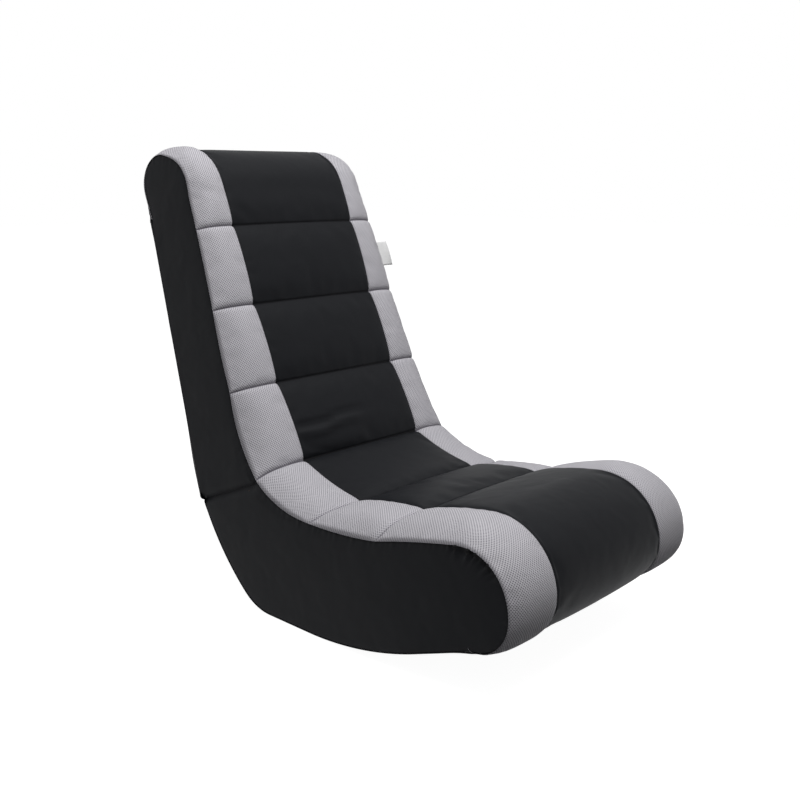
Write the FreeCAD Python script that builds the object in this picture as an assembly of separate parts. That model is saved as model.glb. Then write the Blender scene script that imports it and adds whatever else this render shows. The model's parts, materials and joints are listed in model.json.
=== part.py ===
import FreeCAD
import Part
import math
import os

# Foldable floor rocker chair: a plywood rocker base and a plywood backrest, both
# padded with channelled foam and covered in black coated fabric with two mesh
# stripes. The backrest folds forward onto the seat on two mortised butt hinges.
# Millimetres. X is across the chair, Y points to the rear and Z up from the floor.
# While it is drawn, Y is measured from the sewn seam at the fold; the finished
# chair is then moved so that the origin is on the floor under its middle.

# Widths
SEAT_WIDTH = 430.0
BACK_FLARE = 4.0
BACK_WIDTH = SEAT_WIDTH + BACK_FLARE
TOP_WIDTH = 358.0
CENTRE_WIDTH = 257.0

# Padded front, as seen from the side
FOLD_SEAM_HEIGHT = 228.0
CHANNEL_PITCH = 128.5
BACK_LEANS = (28.3, 23.4, 20.6)
SEAT_RISES = (-17.1, 7.1)
HEAD_FACE = (22.0, 57.5)
HEAD_FRONT = (77.0, 59.0)
HEAD_TAIL = (20.5, 47.5)
ROLL_RISE = (-122.4, 23.8)
ROLL_NOSE = (-96.5, -83.0)
ROLL_UNDER_REACH = 71.5

# Crowns: how far each stretch of padding stands out between two seams
CHANNEL_CROWN = 3.5
FOLD_HOLLOW = 6.0
CENTRE_CROWN = 3.0
STRIPE_CROWN = 2.5
HEAD_FRONT_CROWN = 16.0
HEAD_REAR_CROWN = 22.0
ROLL_TOP_CROWN = 25.5
ROLL_UNDER_CROWN = 24.0
FLAT_CROWN = 1.0
SIDE_FLATTENING = 0.7

# Side seam: how far it lies inside the edge of the centre strip
BACK_EDGE_DROP = 18.0
SEAT_EDGE_DROP = 23.5
ROLL_EDGE_DROP = 25.0
NOSE_EDGE_DROP = 14.5
CROWN_EDGE_DROP = 8.0
HEAD_EDGE_DROP = 21.0
TAIL_EDGE_DROP = 2.0
SEAM_SWEEP = 22.0

# Layers
FOAM = 42.0
SKIN = 2.5
COVER = 2.0
PADDING = 5.0
LINING = 1.0
DECK = 3.0
BOARD = 12.0
RAIL = 18.0
RAIL_HEIGHT = 60.0
REAR_PANEL = 5.0

# Rocker
REST_FRONT = -96.0
REST_REAR = -8.0
FRONT_RADIUS = 600.0
FRONT_SWEEP = 20.5
HEEL_RADIUS = 90.0
HEEL_SWEEP = 40.0
REAR_RADIUS = 380.0
REAR_SLOPE = 60.0
FRONT_RAIL_Y = -345.0
MIDDLE_RAIL_Y = -190.0
REAR_RAIL_SETBACK = 34.0
DECK_LOW = (-125.0, 148.0)
DECK_FRONT_HEIGHT = 184.0
DECK_SETBACK = 7.0
DECK_REAR_SAG = 9.0
DECK_FRONT_SAG = 6.5

# Backrest block
FOLD_AXIS = (28.0, 199.5)
SLOT_ANGLE = 22.0
SLOT_GAP = 0.4
FRAME_SETBACK = 9.0
KNUCKLE_ROOM = 6.5
FOAM_TIP = 7.0
GUSSET_DEPTH = 16.0
REAR_LEAN = 18.8
PANEL_TOP = (304.0, 584.0)
PANEL_CORNER = 9.0
PANEL_CORNER_CROWN = 2.0
HEAD_BOARD_RISE = 74.0
HEAD_BOARD_SETBACK = 12.0

# Hinges
HINGE_INSET = 90.0
HINGE_SPREAD = SEAT_WIDTH - 2 * HINGE_INSET
HINGE_LENGTH = 60.0
KNUCKLES = 5
KNUCKLE_RADIUS = 4.2
KNUCKLE_GAP = 0.3
PIN_RADIUS = 2.0
PIN_CLEARANCE = 0.05
LEAF = 1.5
LEAF_REACH = 34.0
HINGE_SCREWS = 3
SCREW_RADIUS = 1.7
SCREW_HEAD_RADIUS = 3.4
SCREW_HEAD_HEIGHT = 1.7
HINGE_SCREW_LENGTH = 11.0
FRAME_SCREW_LENGTH = 34.0
FRAME_SCREW_RADIUS = 2.2
SCREW_SIDES = 8
HEAD_RECESS = 0.5

# Label sewn into the side seam, blank
TAG_HEIGHT = 44.0
TAG_DROP = 35.0
TAG_REACH = 24.0
TAG_THICKNESS = 0.8

SOFT_CLEARANCE = 0.3
FOLD_CLEARANCE = 0.6

HALF_SEAT = SEAT_WIDTH / 2
HALF_CENTRE = CENTRE_WIDTH / 2
# Planes across a mesh stripe: share of its width, share of the drop, share of its crown
STRIPE_STATIONS = ((0.0, 0.0, 0.0), (0.3, 0.05, 1.0), (0.65, 0.25, 1.0), (0.9, 0.6, 0.3),
                   (1.0, 1.0, 0.0))
FOAM_EDGE = (0.95, 0.8, 0.15)


def along(start, length, degrees):
    turn = math.radians(degrees)
    return (start[0] + length * math.cos(turn), start[1] + length * math.sin(turn))


def step(start, move):
    return (start[0] + move[0], start[1] + move[1])


def towards(start, goal, distance):
    dy, dz = goal[0] - start[0], goal[1] - start[1]
    share = distance / math.hypot(dy, dz)
    return (start[0] + dy * share, start[1] + dz * share)


def outward(a, b):
    """Unit normal of a stretch that runs with the solid on its left."""
    dy, dz = b[0] - a[0], b[1] - a[1]
    size = math.hypot(dy, dz)
    return (dz / size, -dy / size)


def blended_normal(points, i):
    near = []
    if i > 0:
        near.append(outward(points[i - 1], points[i]))
    if i < len(points) - 1:
        near.append(outward(points[i], points[i + 1]))
    ny = sum(n[0] for n in near)
    nz = sum(n[1] for n in near)
    size = math.hypot(ny, nz)
    return (ny / size, nz / size)


def inset(points, depth):
    """The same profile, drawn depth further in."""
    moved = []
    for i, p in enumerate(points):
        n = blended_normal(points, i)
        facing = outward(p, points[i + 1]) if i < len(points) - 1 else n
        share = max(n[0] * facing[0] + n[1] * facing[1], 0.5)
        moved.append((p[0] - n[0] * depth / share, p[1] - n[1] * depth / share))
    return moved


def slot_point(along_slot, above):
    """A point of the fold slot, from the hinge axis: towards the rear, and up."""
    turn = math.radians(SLOT_ANGLE)
    y = FOLD_AXIS[0] + along_slot * math.cos(turn) + above * math.sin(turn)
    z = FOLD_AXIS[1] - along_slot * math.sin(turn) + above * math.cos(turn)
    return (y, z)


def meet(a, angle_a, b, angle_b):
    """Where two lines cross, each through a point at an angle in degrees."""
    ta, tb = math.radians(angle_a), math.radians(angle_b)
    across = math.cos(ta) * math.sin(tb) - math.sin(ta) * math.cos(tb)
    dy, dz = b[0] - a[0], b[1] - a[1]
    reach = (dy * math.sin(tb) - dz * math.cos(tb)) / across
    return (a[0] + reach * math.cos(ta), a[1] + reach * math.sin(ta))


def rear_point(depth, z):
    """A point of the backrest's straight rear line, depth inside it."""
    lean = math.radians(REAR_LEAN)
    y = PANEL_TOP[0] + (z - PANEL_TOP[1]) * math.tan(lean) - depth / math.cos(lean)
    return (y, z)


def rear_foot(depth, above_slot):
    """Where the backrest's rear line meets a line above the slot."""
    upright = rear_point(depth, PANEL_TOP[1])
    return meet(upright, 90 - REAR_LEAN, slot_point(0, above_slot), -SLOT_ANGLE)


def half_width(z):
    """Half the backrest's width at a height: it tapers evenly to the top."""
    foot, top = rear_foot(0, 0)[1], HEAD_2[1]
    return BACK_WIDTH / 2 - (BACK_WIDTH - TOP_WIDTH) / 2 * (z - foot) / (top - foot)


def seat_side(inside):
    return lambda z: HALF_SEAT - inside


def back_side(inside):
    return lambda z: half_width(z) - inside


def mirrored(side):
    return lambda z: -side(z)


def edges(points, crowns, x_of, closed=False):
    """Lines and arcs through the points, drawn on the plane that x_of gives."""
    made = []
    ends = list(points[1:]) + ([points[0]] if closed else [])
    for a, b, crown in zip(points, ends, crowns):
        start, stop = [FreeCAD.Vector(x_of(p[1]), p[0], p[1]) for p in (a, b)]
        if abs(crown) < 1e-6:
            made.append(Part.makeLine(start, stop))
            continue
        n = outward(a, b)
        y = (a[0] + b[0]) / 2 + n[0] * crown
        z = (a[1] + b[1]) / 2 + n[1] * crown
        made.append(Part.Arc(start, FreeCAD.Vector(x_of(z), y, z), stop).toShape())
    return made


def loft(outlines, sides):
    """A solid through the same kind of outline at several planes across the chair."""
    wires = []
    for (points, crowns), x_of in zip(outlines, sides):
        wires.append(Part.Wire(edges(points, crowns, x_of, closed=True)))
    return Part.makeLoft(wires, True, True)


def prism(points, crowns, left, right):
    return loft([(points, crowns), (points, crowns)], [left, right])


def across(points, crowns, side):
    """A solid that spans the chair between a side plane and its mirror image."""
    return prism(points, crowns, mirrored(side), side)


def straight(points):
    return [0.0] * len(points)


def rocker(depth, end_y, slot_depth):
    """The floor line from end_y back to the slot, depth inside it, and its crowns."""
    sweep, heel = math.radians(FRONT_SWEEP), math.radians(HEEL_SWEEP)
    slope = math.radians(REAR_SLOPE)
    front = FRONT_RADIUS - depth
    rise = (REST_FRONT - front * math.sin(sweep), FRONT_RADIUS - front * math.cos(sweep))
    nose = (end_y, rise[1] + (rise[0] - end_y) * math.tan(sweep))
    inner = HEEL_RADIUS - depth
    heel_end = (REST_REAR + inner * math.sin(heel), HEEL_RADIUS - inner * math.cos(heel))
    middle = (REST_REAR + (HEEL_RADIUS - REAR_RADIUS) * math.sin(heel),
              HEEL_RADIUS + (REAR_RADIUS - HEEL_RADIUS) * math.cos(heel))
    far = REAR_RADIUS - depth
    rear = (middle[0] + far * math.sin(slope), middle[1] - far * math.cos(slope))
    corner = meet(rear, REAR_SLOPE, slot_point(0, -SLOT_GAP / 2 - slot_depth), -SLOT_ANGLE)
    points = [nose, rise, (REST_FRONT, depth), (REST_REAR, depth), heel_end, rear, corner]
    crowns = [0.0, front * (1 - math.cos(sweep / 2)), 0.0,
              inner * (1 - math.cos(heel / 2)), far * (1 - math.cos((slope - heel) / 2)), 0.0]
    return points, crowns


# The padded front of the chair from behind the head, over it and down to the seat
FOLD_SEAM = (0.0, FOLD_SEAM_HEIGHT)
SEAM_3 = along(FOLD_SEAM, CHANNEL_PITCH, 90 - BACK_LEANS[0])
SEAM_2 = along(SEAM_3, CHANNEL_PITCH, 90 - BACK_LEANS[1])
SEAM_1 = along(SEAM_2, CHANNEL_PITCH, 90 - BACK_LEANS[2])
SEAM_5 = along(FOLD_SEAM, CHANNEL_PITCH, 180 - SEAT_RISES[0])
SEAM_6 = along(SEAM_5, CHANNEL_PITCH, 180 - SEAT_RISES[1])
HEAD_1 = step(SEAM_1, HEAD_FACE)
HEAD_2 = step(HEAD_1, HEAD_FRONT)
HEAD_4 = rear_point(REAR_PANEL, PANEL_TOP[1])
HEAD_3 = step(HEAD_4, HEAD_TAIL)
ROLL_1 = step(SEAM_6, ROLL_RISE)
ROLL_2 = step(ROLL_1, ROLL_NOSE)
ROLL_3 = rocker(0, ROLL_2[0] + ROLL_UNDER_REACH, 0)[0][0]

FRONT = [HEAD_4, HEAD_3, HEAD_2, HEAD_1, SEAM_1, SEAM_2, SEAM_3, FOLD_SEAM,
         SEAM_5, SEAM_6, ROLL_1, ROLL_2, ROLL_3]
FRONT_CROWNS = [FLAT_CROWN, HEAD_REAR_CROWN, HEAD_FRONT_CROWN, FLAT_CROWN,
                CHANNEL_CROWN, CHANNEL_CROWN, CHANNEL_CROWN, -FOLD_HOLLOW,
                CHANNEL_CROWN, CHANNEL_CROWN, ROLL_TOP_CROWN, ROLL_UNDER_CROWN]
FRONT_DROPS = [TAIL_EDGE_DROP, TAIL_EDGE_DROP, CROWN_EDGE_DROP, HEAD_EDGE_DROP,
               BACK_EDGE_DROP, BACK_EDGE_DROP, SEAT_EDGE_DROP, SEAT_EDGE_DROP,
               SEAT_EDGE_DROP, ROLL_EDGE_DROP, ROLL_EDGE_DROP, NOSE_EDGE_DROP,
               TAIL_EDGE_DROP]
AT_SEAM_1, AT_SEAM_3, AT_FOLD, AT_SEAM_5, AT_SEAM_6 = (
    FRONT.index(p) for p in (SEAM_1, SEAM_3, FOLD_SEAM, SEAM_5, SEAM_6))
SWEPT = (AT_SEAM_5, AT_SEAM_6)
SEAMS = range(AT_SEAM_1, AT_SEAM_6 + 1)


def side_profile(drop_share):
    """The padded front, sunk by a share of its drop at the side seam."""
    points = []
    for i, (p, drop) in enumerate(zip(FRONT, FRONT_DROPS)):
        n = blended_normal(FRONT, i)
        back = SEAM_SWEEP * drop_share if i in SWEPT else 0.0
        y = p[0] - n[0] * drop * drop_share + n[1] * back
        z = p[1] - n[1] * drop * drop_share - n[0] * back
        points.append((y, z))
    return points


def layer(first, last, drop_share, swell, depth):
    """A stretch of the padded front, depth inside its face, and its crowns."""
    points = inset(side_profile(drop_share), depth)
    for i, p in enumerate(points):
        n = blended_normal(FRONT, i)
        on_stripe = drop_share and 0 < i < len(points) - 1
        lift = swell if on_stripe or i in SEAMS else 0.0
        points[i] = (p[0] + n[0] * lift, p[1] + n[1] * lift)
    if last == AT_FOLD:
        points[last] = towards(points[last], points[last - 1], FOLD_CLEARANCE)
    if first == AT_FOLD:
        points[first] = towards(points[first], points[first + 1], FOLD_CLEARANCE)
    crowns = []
    for crown in FRONT_CROWNS:
        flattens = SIDE_FLATTENING if 0 < crown <= CHANNEL_CROWN else 0.0
        crowns.append(crown * (1 - flattens * drop_share))
    return points[first:last + 1], crowns[first:last]


def stripe_plane(share, side):
    return lambda z: HALF_CENTRE + share * (side(z) - HALF_CENTRE)


def stripe_planes(side, mirror, stations=STRIPE_STATIONS):
    """Planes across one stripe: (x of the plane, share of the drop, crown)."""
    planes = [(stripe_plane(share, side), drop, crown * STRIPE_CROWN)
              for share, drop, crown in stations]
    if mirror:
        planes = [(mirrored(x), drop, swell) for x, drop, swell in planes[::-1]]
    return planes


def centre_planes():
    inner = (lambda z: HALF_CENTRE / 2, 0.0, CENTRE_CROWN)
    edge = (lambda z: HALF_CENTRE, 0.0, 0.0)
    return [(mirrored(x), drop, swell) for x, drop, swell in (edge, inner)] + [inner, edge]


def foam_planes(side):
    stations = STRIPE_STATIONS[:-1] + (FOAM_EDGE,)
    left, right = [stripe_planes(side, mirror, stations) for mirror in (True, False)]
    return left + centre_planes()[1:3] + right


def foam_pad(first, last, under, under_crowns, side):
    """Foam from its channelled face down to the points under it."""
    outlines, sides = [], []
    for x_of, drop, swell in foam_planes(side):
        face, crowns = layer(first, last, drop, swell, SKIN + SOFT_CLEARANCE)
        outlines.append((face + under, crowns + under_crowns))
        sides.append(x_of)
    return loft(outlines, sides)


def skin(first, last, planes):
    """A sewn cover over a stretch of the padded front."""
    outlines, sides = [], []
    for x_of, drop, swell in planes:
        face, crowns = layer(first, last, drop, swell, 0.0)
        back, back_crowns = layer(first, last, drop, swell, SKIN)
        turned = [-c for c in back_crowns[::-1]]
        outlines.append((face + back[::-1], crowns + [0.0] + turned + [0.0]))
        sides.append(x_of)
    return loft(outlines, sides)


# The frame: deck lines under the foam, and the outlines of the boards
SEAT_DECK = [slot_point(FRAME_SETBACK, -DECK_SETBACK), DECK_LOW, (FRONT_RAIL_Y, DECK_FRONT_HEIGHT)]
SEAT_DECK_CROWNS = [-DECK_REAR_SAG, -DECK_FRONT_SAG]


def under_seam(i):
    n = blended_normal(FRONT, i)
    return (FRONT[i][0] - n[0] * FOAM, FRONT[i][1] - n[1] * FOAM)


HEAD_BOARD_FRONT = along(under_seam(AT_SEAM_1), HEAD_BOARD_RISE, 90 - BACK_LEANS[2])
HEAD_BOARD_REAR = rear_point(REAR_PANEL + HEAD_BOARD_SETBACK, HEAD_BOARD_FRONT[1])
PANEL_STEP = rear_point(REAR_PANEL + HEAD_BOARD_SETBACK, PANEL_TOP[1])
BACK_DECK = [HEAD_BOARD_FRONT, under_seam(AT_SEAM_1), under_seam(AT_SEAM_1 + 1),
             under_seam(AT_SEAM_3), slot_point(FRAME_SETBACK, DECK_SETBACK)]
FACE = SLOT_GAP / 2 + LINING


def sheet(points, crowns, under, side):
    """A board between a line and the same line further in, right across the chair."""
    turned = [-c for c in crowns[::-1]]
    return across(points + under[::-1], crowns + [0.0] + turned + [0.0], side)


def under_seat_deck():
    """The seat deck's lower line, cut off upright where it meets the front rail."""
    points = inset(SEAT_DECK, DECK)
    slope = (SEAT_DECK[2][1] - SEAT_DECK[1][1]) / (SEAT_DECK[1][0] - SEAT_DECK[2][0])
    points[2] = (FRONT_RAIL_Y, DECK_FRONT_HEIGHT - DECK * math.hypot(1, slope))
    return points


def base_outline():
    top = under_seat_deck()
    floor, floor_crowns = rocker(COVER, FRONT_RAIL_Y, LINING)
    points = top + floor + [slot_point(FRAME_SETBACK, -FACE)]
    return points, SEAT_DECK_CROWNS + [0.0] + floor_crowns + [0.0, 0.0]


def back_outline():
    points = inset(BACK_DECK, DECK) + [slot_point(FRAME_SETBACK, FACE),
                                       rear_foot(REAR_PANEL, FACE),
                                       rear_point(REAR_PANEL, PANEL_TOP[1]),
                                       PANEL_STEP, HEAD_BOARD_REAR]
    return points, straight(points)


def boards(outline, side, outside, thickness):
    """The left and right board of one outline, outside in from the side."""
    outer, inner = side(outside), side(outside + thickness)
    left = prism(*outline, mirrored(outer), mirrored(inner))
    return {"left": left, "right": prism(*outline, inner, outer)}


def ring(radius, height):
    """An even-sided outline round Z, as a simple stand-in for a small circle."""
    turns = [2 * math.pi * i / SCREW_SIDES for i in range(SCREW_SIDES)]
    corners = [FreeCAD.Vector(radius * math.cos(t), radius * math.sin(t), height) for t in turns]
    return Part.makePolygon(corners + corners[:1])


def screw(x, y, z, length, radius, facing):
    """A countersunk wood screw that goes in along facing, head flush at the point."""
    head_radius = radius * SCREW_HEAD_RADIUS / SCREW_RADIUS
    rings = [ring(head_radius, 0.0), ring(radius, SCREW_HEAD_HEIGHT), ring(radius, length)]
    made = Part.makeLoft(rings, True, True)
    turn = FreeCAD.Rotation(FreeCAD.Vector(0, 0, 1), FreeCAD.Vector(*facing))
    made.Placement = FreeCAD.Placement(FreeCAD.Vector(x, y, z), turn)
    return made


def frame_screws(places, side):
    """Screws through both side boards into the ends of the rails."""
    made = []
    for y, z in places:
        x = side(COVER + PADDING + HEAD_RECESS)(z)
        for sign in (-1, 1):
            made.append(screw(sign * x, y, z, FRAME_SCREW_LENGTH, FRAME_SCREW_RADIUS,
                              (-sign, 0, 0)))
    return made


def cut_all(shape, tools):
    return shape.cut(Part.makeCompound(tools))


def slab(low, high):
    """A box across the whole chair, from its low to its high (y, z) corner."""
    size = (SEAT_WIDTH * 2, high[0] - low[0], high[1] - low[1])
    return Part.makeBox(*size, FreeCAD.Vector(-SEAT_WIDTH, low[0], low[1]))


def in_slot_frame(shape):
    """Turn and move a shape drawn about the hinge axis, with Y along the slot."""
    shape.rotate(FreeCAD.Vector(0, 0, 0), FreeCAD.Vector(1, 0, 0), -SLOT_ANGLE)
    shape.translate(FreeCAD.Vector(0, FOLD_AXIS[0], FOLD_AXIS[1]))
    return shape


def leaf_box(start, reach, low, high, x0, x1):
    return Part.makeBox(x1 - x0, reach - start, high - low, FreeCAD.Vector(x0, start, low))


def hinge(x, upper):
    """One hinge leaf, its mortise and its screws, for the board above or below."""
    sign = 1 if upper else -1
    low, high = sorted((sign * SLOT_GAP / 2, sign * (SLOT_GAP / 2 + LEAF)))
    x0, x1 = x - HINGE_LENGTH / 2, x + HINGE_LENGTH / 2
    clear = KNUCKLE_RADIUS + KNUCKLE_GAP
    leaf = leaf_box(clear, LEAF_REACH, low, high, x0, x1)
    mortise = in_slot_frame(leaf_box(clear, LEAF_REACH, low, high, x0, x1))
    pitch = HINGE_LENGTH / KNUCKLES
    for i in range(1 if upper else 0, KNUCKLES, 2):
        k0, k1 = x0 + i * pitch + KNUCKLE_GAP / 2, x0 + (i + 1) * pitch - KNUCKLE_GAP / 2
        barrel = Part.makeCylinder(KNUCKLE_RADIUS, k1 - k0, FreeCAD.Vector(k0, 0, 0),
                                   FreeCAD.Vector(1, 0, 0))
        leaf = leaf.fuse([barrel, leaf_box(0, clear, low, high, k0, k1)])
    bore = PIN_RADIUS + (PIN_CLEARANCE if upper else 0.0)
    leaf = leaf.cut(Part.makeCylinder(bore, HINGE_LENGTH, FreeCAD.Vector(x0, 0, 0),
                                      FreeCAD.Vector(1, 0, 0)))
    screws = []
    for i in range(HINGE_SCREWS):
        across_leaf = x0 + HINGE_LENGTH * (i + 0.5) / HINGE_SCREWS
        reach = LEAF_REACH * (0.42 if i % 2 else 0.72)
        made = screw(across_leaf, reach, sign * SLOT_GAP / 2, HINGE_SCREW_LENGTH,
                     SCREW_RADIUS, (0, 0, sign))
        screws.append(in_slot_frame(made))
    leaf = cut_all(in_slot_frame(leaf).removeSplitter(), screws)
    return leaf, mortise, screws


def hinge_pin(x):
    pin = Part.makeCylinder(PIN_RADIUS, HINGE_LENGTH, FreeCAD.Vector(x - HINGE_LENGTH / 2, 0, 0),
                            FreeCAD.Vector(1, 0, 0))
    return in_slot_frame(pin)


def foam_tip(part):
    """The tip of the fold foam in front of the hinge, parted from the other half."""
    tip = towards(FOLD_AXIS, FOLD_SEAM, FOAM_TIP)
    n = outward(FOLD_SEAM, FOLD_AXIS)
    shift = SOFT_CLEARANCE / 2 * part
    return (tip[0] - n[0] * shift, tip[1] - n[1] * shift)


def seat_pads(parts):
    side = seat_side(0)
    floor = rocker(COVER, FRONT_RAIL_Y, LINING)[0][0]
    under = [floor, SEAT_DECK[2], SEAT_DECK[1]]
    parts["seat_foam"] = foam_pad(AT_SEAM_5, len(FRONT) - 1, under,
                                  [0.0, 0.0, DECK_FRONT_SAG, 0.0], side)
    under = [SEAT_DECK[1], SEAT_DECK[0], slot_point(0, -KNUCKLE_ROOM),
             slot_point(-KNUCKLE_ROOM * 0.85, -KNUCKLE_ROOM * 0.53), foam_tip(-1)]
    parts["seat_fold_foam"] = foam_pad(AT_FOLD, AT_SEAM_5, under,
                                       [0.0, DECK_REAR_SAG, 0.0, 0.0, 0.0, 0.0], side)


def back_pads(parts):
    side = back_side(0)
    under = BACK_DECK[3::-1] + [HEAD_BOARD_REAR, PANEL_STEP]
    parts["back_foam"] = foam_pad(0, AT_SEAM_3, under, straight(under) + [0.0], side)
    under = [foam_tip(1), slot_point(0, KNUCKLE_ROOM), BACK_DECK[4], BACK_DECK[3]]
    parts["back_fold_foam"] = foam_pad(AT_SEAM_3, AT_FOLD, under,
                                       straight(under) + [0.0], side)


def covers(parts):
    """The sewn covers of both halves: centre strip and mesh stripes."""
    last = len(FRONT) - 1
    halves = (("seat", AT_SEAM_5, last, seat_side(0)), ("back", 0, AT_SEAM_3, back_side(0)),
              ("seat_fold", AT_FOLD, AT_SEAM_5, seat_side(0)),
              ("back_fold", AT_SEAM_3, AT_FOLD, back_side(0)))
    for name, first, end, side in halves:
        parts[name + "_centre_cover"] = skin(first, end, centre_planes())
        parts[name + "_mesh_left"] = skin(first, end, stripe_planes(side, True))
        parts[name + "_mesh_right"] = skin(first, end, stripe_planes(side, False))


def side_outline(first, last, rest):
    """A side panel's outline: under the side seam, then the points of the rest."""
    face, crowns = layer(first, last, 1.0, 0.0, SKIN)
    return face + rest, crowns


def both_sides(parts, name, outline, side):
    for hand, solid in boards(outline, side, 0.0, COVER).items():
        parts[name + "_" + hand] = solid


def side_covers(parts):
    last = len(FRONT) - 1
    near = 1.0
    floor, floor_crowns = rocker(COVER, ROLL_3[0] + 2 * SKIN, 0)
    seat_tip, back_tip = slot_point(near, -SLOT_GAP / 2), slot_point(near, SLOT_GAP / 2)
    points, crowns = side_outline(AT_SEAM_5, last, [])
    gusset_foot = (points[0][0], points[0][1] - GUSSET_DEPTH)
    points += floor + [seat_tip, gusset_foot]
    both_sides(parts, "base_side_cover", (points, crowns + [0.0] + floor_crowns + [0.0] * 3),
               seat_side)
    points, crowns = side_outline(AT_FOLD, AT_SEAM_5, [gusset_foot, seat_tip, foam_tip(-1)])
    both_sides(parts, "seat_fold_gusset", (points, crowns + [0.0] * 4), seat_side)
    rest = [back_tip, rear_foot(REAR_PANEL, SLOT_GAP / 2)]
    points, crowns = side_outline(0, AT_SEAM_3, rest)
    both_sides(parts, "back_side_cover", (points, crowns + [0.0, 0.0, 0.0]), back_side)
    points, crowns = side_outline(AT_SEAM_3, AT_FOLD, [foam_tip(1), back_tip])
    both_sides(parts, "back_fold_gusset", (points, crowns + [0.0] * 3), back_side)


def base_covers(parts):
    outer, crowns = rocker(0, ROLL_3[0] + SKIN, 0)
    inner, _ = rocker(COVER, ROLL_3[0] + SKIN, 0)
    heel = 5
    for name, first, last in (("underside_cover", 0, heel), ("base_rear_cover", heel - 1, 7)):
        stretch = crowns[first:last - 1]
        turned = [-c for c in stretch[::-1]]
        parts[name] = across(outer[first:last] + inner[first:last][::-1],
                             stretch + [0.0] + turned + [0.0], seat_side(0))


def linings(parts, mortises):
    """Thin cloth on both faces of the slot, cut out round the hinge leaves."""
    corner = rocker(COVER, 0, 0)[0][-1]
    lower = rocker(COVER, 0, LINING)[0][-1]
    points = [corner, slot_point(FRAME_SETBACK, -SLOT_GAP / 2), slot_point(FRAME_SETBACK, -FACE), lower]
    lining = across(points, straight(points), seat_side(COVER))
    parts["base_slot_lining"] = cut_all(lining, mortises["base"])
    points = [slot_point(FRAME_SETBACK, SLOT_GAP / 2), rear_foot(REAR_PANEL, SLOT_GAP / 2),
              rear_foot(REAR_PANEL, FACE), slot_point(FRAME_SETBACK, FACE)]
    lining = across(points, straight(points), back_side(COVER))
    parts["back_slot_lining"] = cut_all(lining, mortises["back"])


def rear_panel(parts):
    foot = rear_foot(0, SLOT_GAP / 2)
    low = towards(foot, rear_point(0, PANEL_TOP[1]), PANEL_CORNER)
    points = [rear_foot(REAR_PANEL, SLOT_GAP / 2), low, rear_point(0, PANEL_TOP[1]),
              rear_point(REAR_PANEL, PANEL_TOP[1])]
    parts["back_rear_panel"] = across(points, [PANEL_CORNER_CROWN, 0.0, 0.0, 0.0], back_side(0))


def base_frame(parts, mortises, hinge_screws):
    """Plywood rocker sides joined by three rails and the hinge board."""
    outline = base_outline()
    inside = COVER + PADDING + BOARD
    core = across(*outline, seat_side(inside))
    front = FRONT_RAIL_Y + RAIL
    middle = MIDDLE_RAIL_Y + RAIL
    rear = base_rear_rail_box()
    tall = HALF_SEAT
    hinge_points = [slot_point(FRAME_SETBACK, -FACE), slot_point(FRAME_SETBACK, -FACE - BOARD),
                    meet(rocker(COVER, 0, 0)[0][5], REAR_SLOPE, slot_point(0, -FACE - BOARD),
                         -SLOT_ANGLE), rocker(COVER, 0, LINING)[0][-1]]
    board = across(hinge_points, straight(hinge_points), seat_side(inside))
    rails = {"front_rail": core.common(slab((FRONT_RAIL_Y, 0), (front, tall))),
             "seat_middle_rail": core.common(slab(*middle_rail_box(middle))),
             "base_rear_rail": core.common(slab(*rear)).cut(board),
             "base_hinge_board": board}
    half = BOARD / 2
    along_slot = slot_length() / 4
    places = [(FRONT_RAIL_Y + RAIL / 2, HALF_SEAT * 0.4), (FRONT_RAIL_Y + RAIL / 2, HALF_SEAT * 0.7),
              (MIDDLE_RAIL_Y + RAIL / 2, middle_rail_box(middle)[0][1] + RAIL_HEIGHT * 0.25),
              (MIDDLE_RAIL_Y + RAIL / 2, middle_rail_box(middle)[0][1] + RAIL_HEIGHT * 0.6),
              slot_point(along_slot, -FACE - half), slot_point(3 * along_slot, -FACE - half)]
    screws = frame_screws(places, seat_side)
    for name, rail in rails.items():
        parts[name] = cut_all(rail, screws + mortises["base"] + hinge_screws["base"])
    for hand, board in boards(outline, seat_side, COVER + PADDING, BOARD).items():
        parts["base_side_board_" + hand] = cut_all(board, screws)
    parts["base_frame_screws"] = Part.makeCompound(screws)
    for hand, pad in boards(outline, seat_side, COVER, PADDING).items():
        parts["base_side_padding_" + hand] = pad
    deck = sheet(SEAT_DECK, SEAT_DECK_CROWNS, under_seat_deck(), seat_side(COVER))
    parts["seat_deck"] = deck
    parts["base_hinge_board"] = parts["base_hinge_board"].cut(deck)


def slot_length():
    return rocker(0, 0, 0)[0][-1][0] - FOLD_AXIS[0]


def middle_rail_box(rear_y):
    top = SEAT_DECK[1][1] + 2 * DECK
    return (MIDDLE_RAIL_Y, top - RAIL_HEIGHT), (rear_y, top + RAIL)


def base_rear_rail_box():
    rear_y = rocker(0, 0, 0)[0][-1][0] - REAR_RAIL_SETBACK
    return (rear_y - RAIL, 0), (rear_y, FOLD_AXIS[1])


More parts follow.
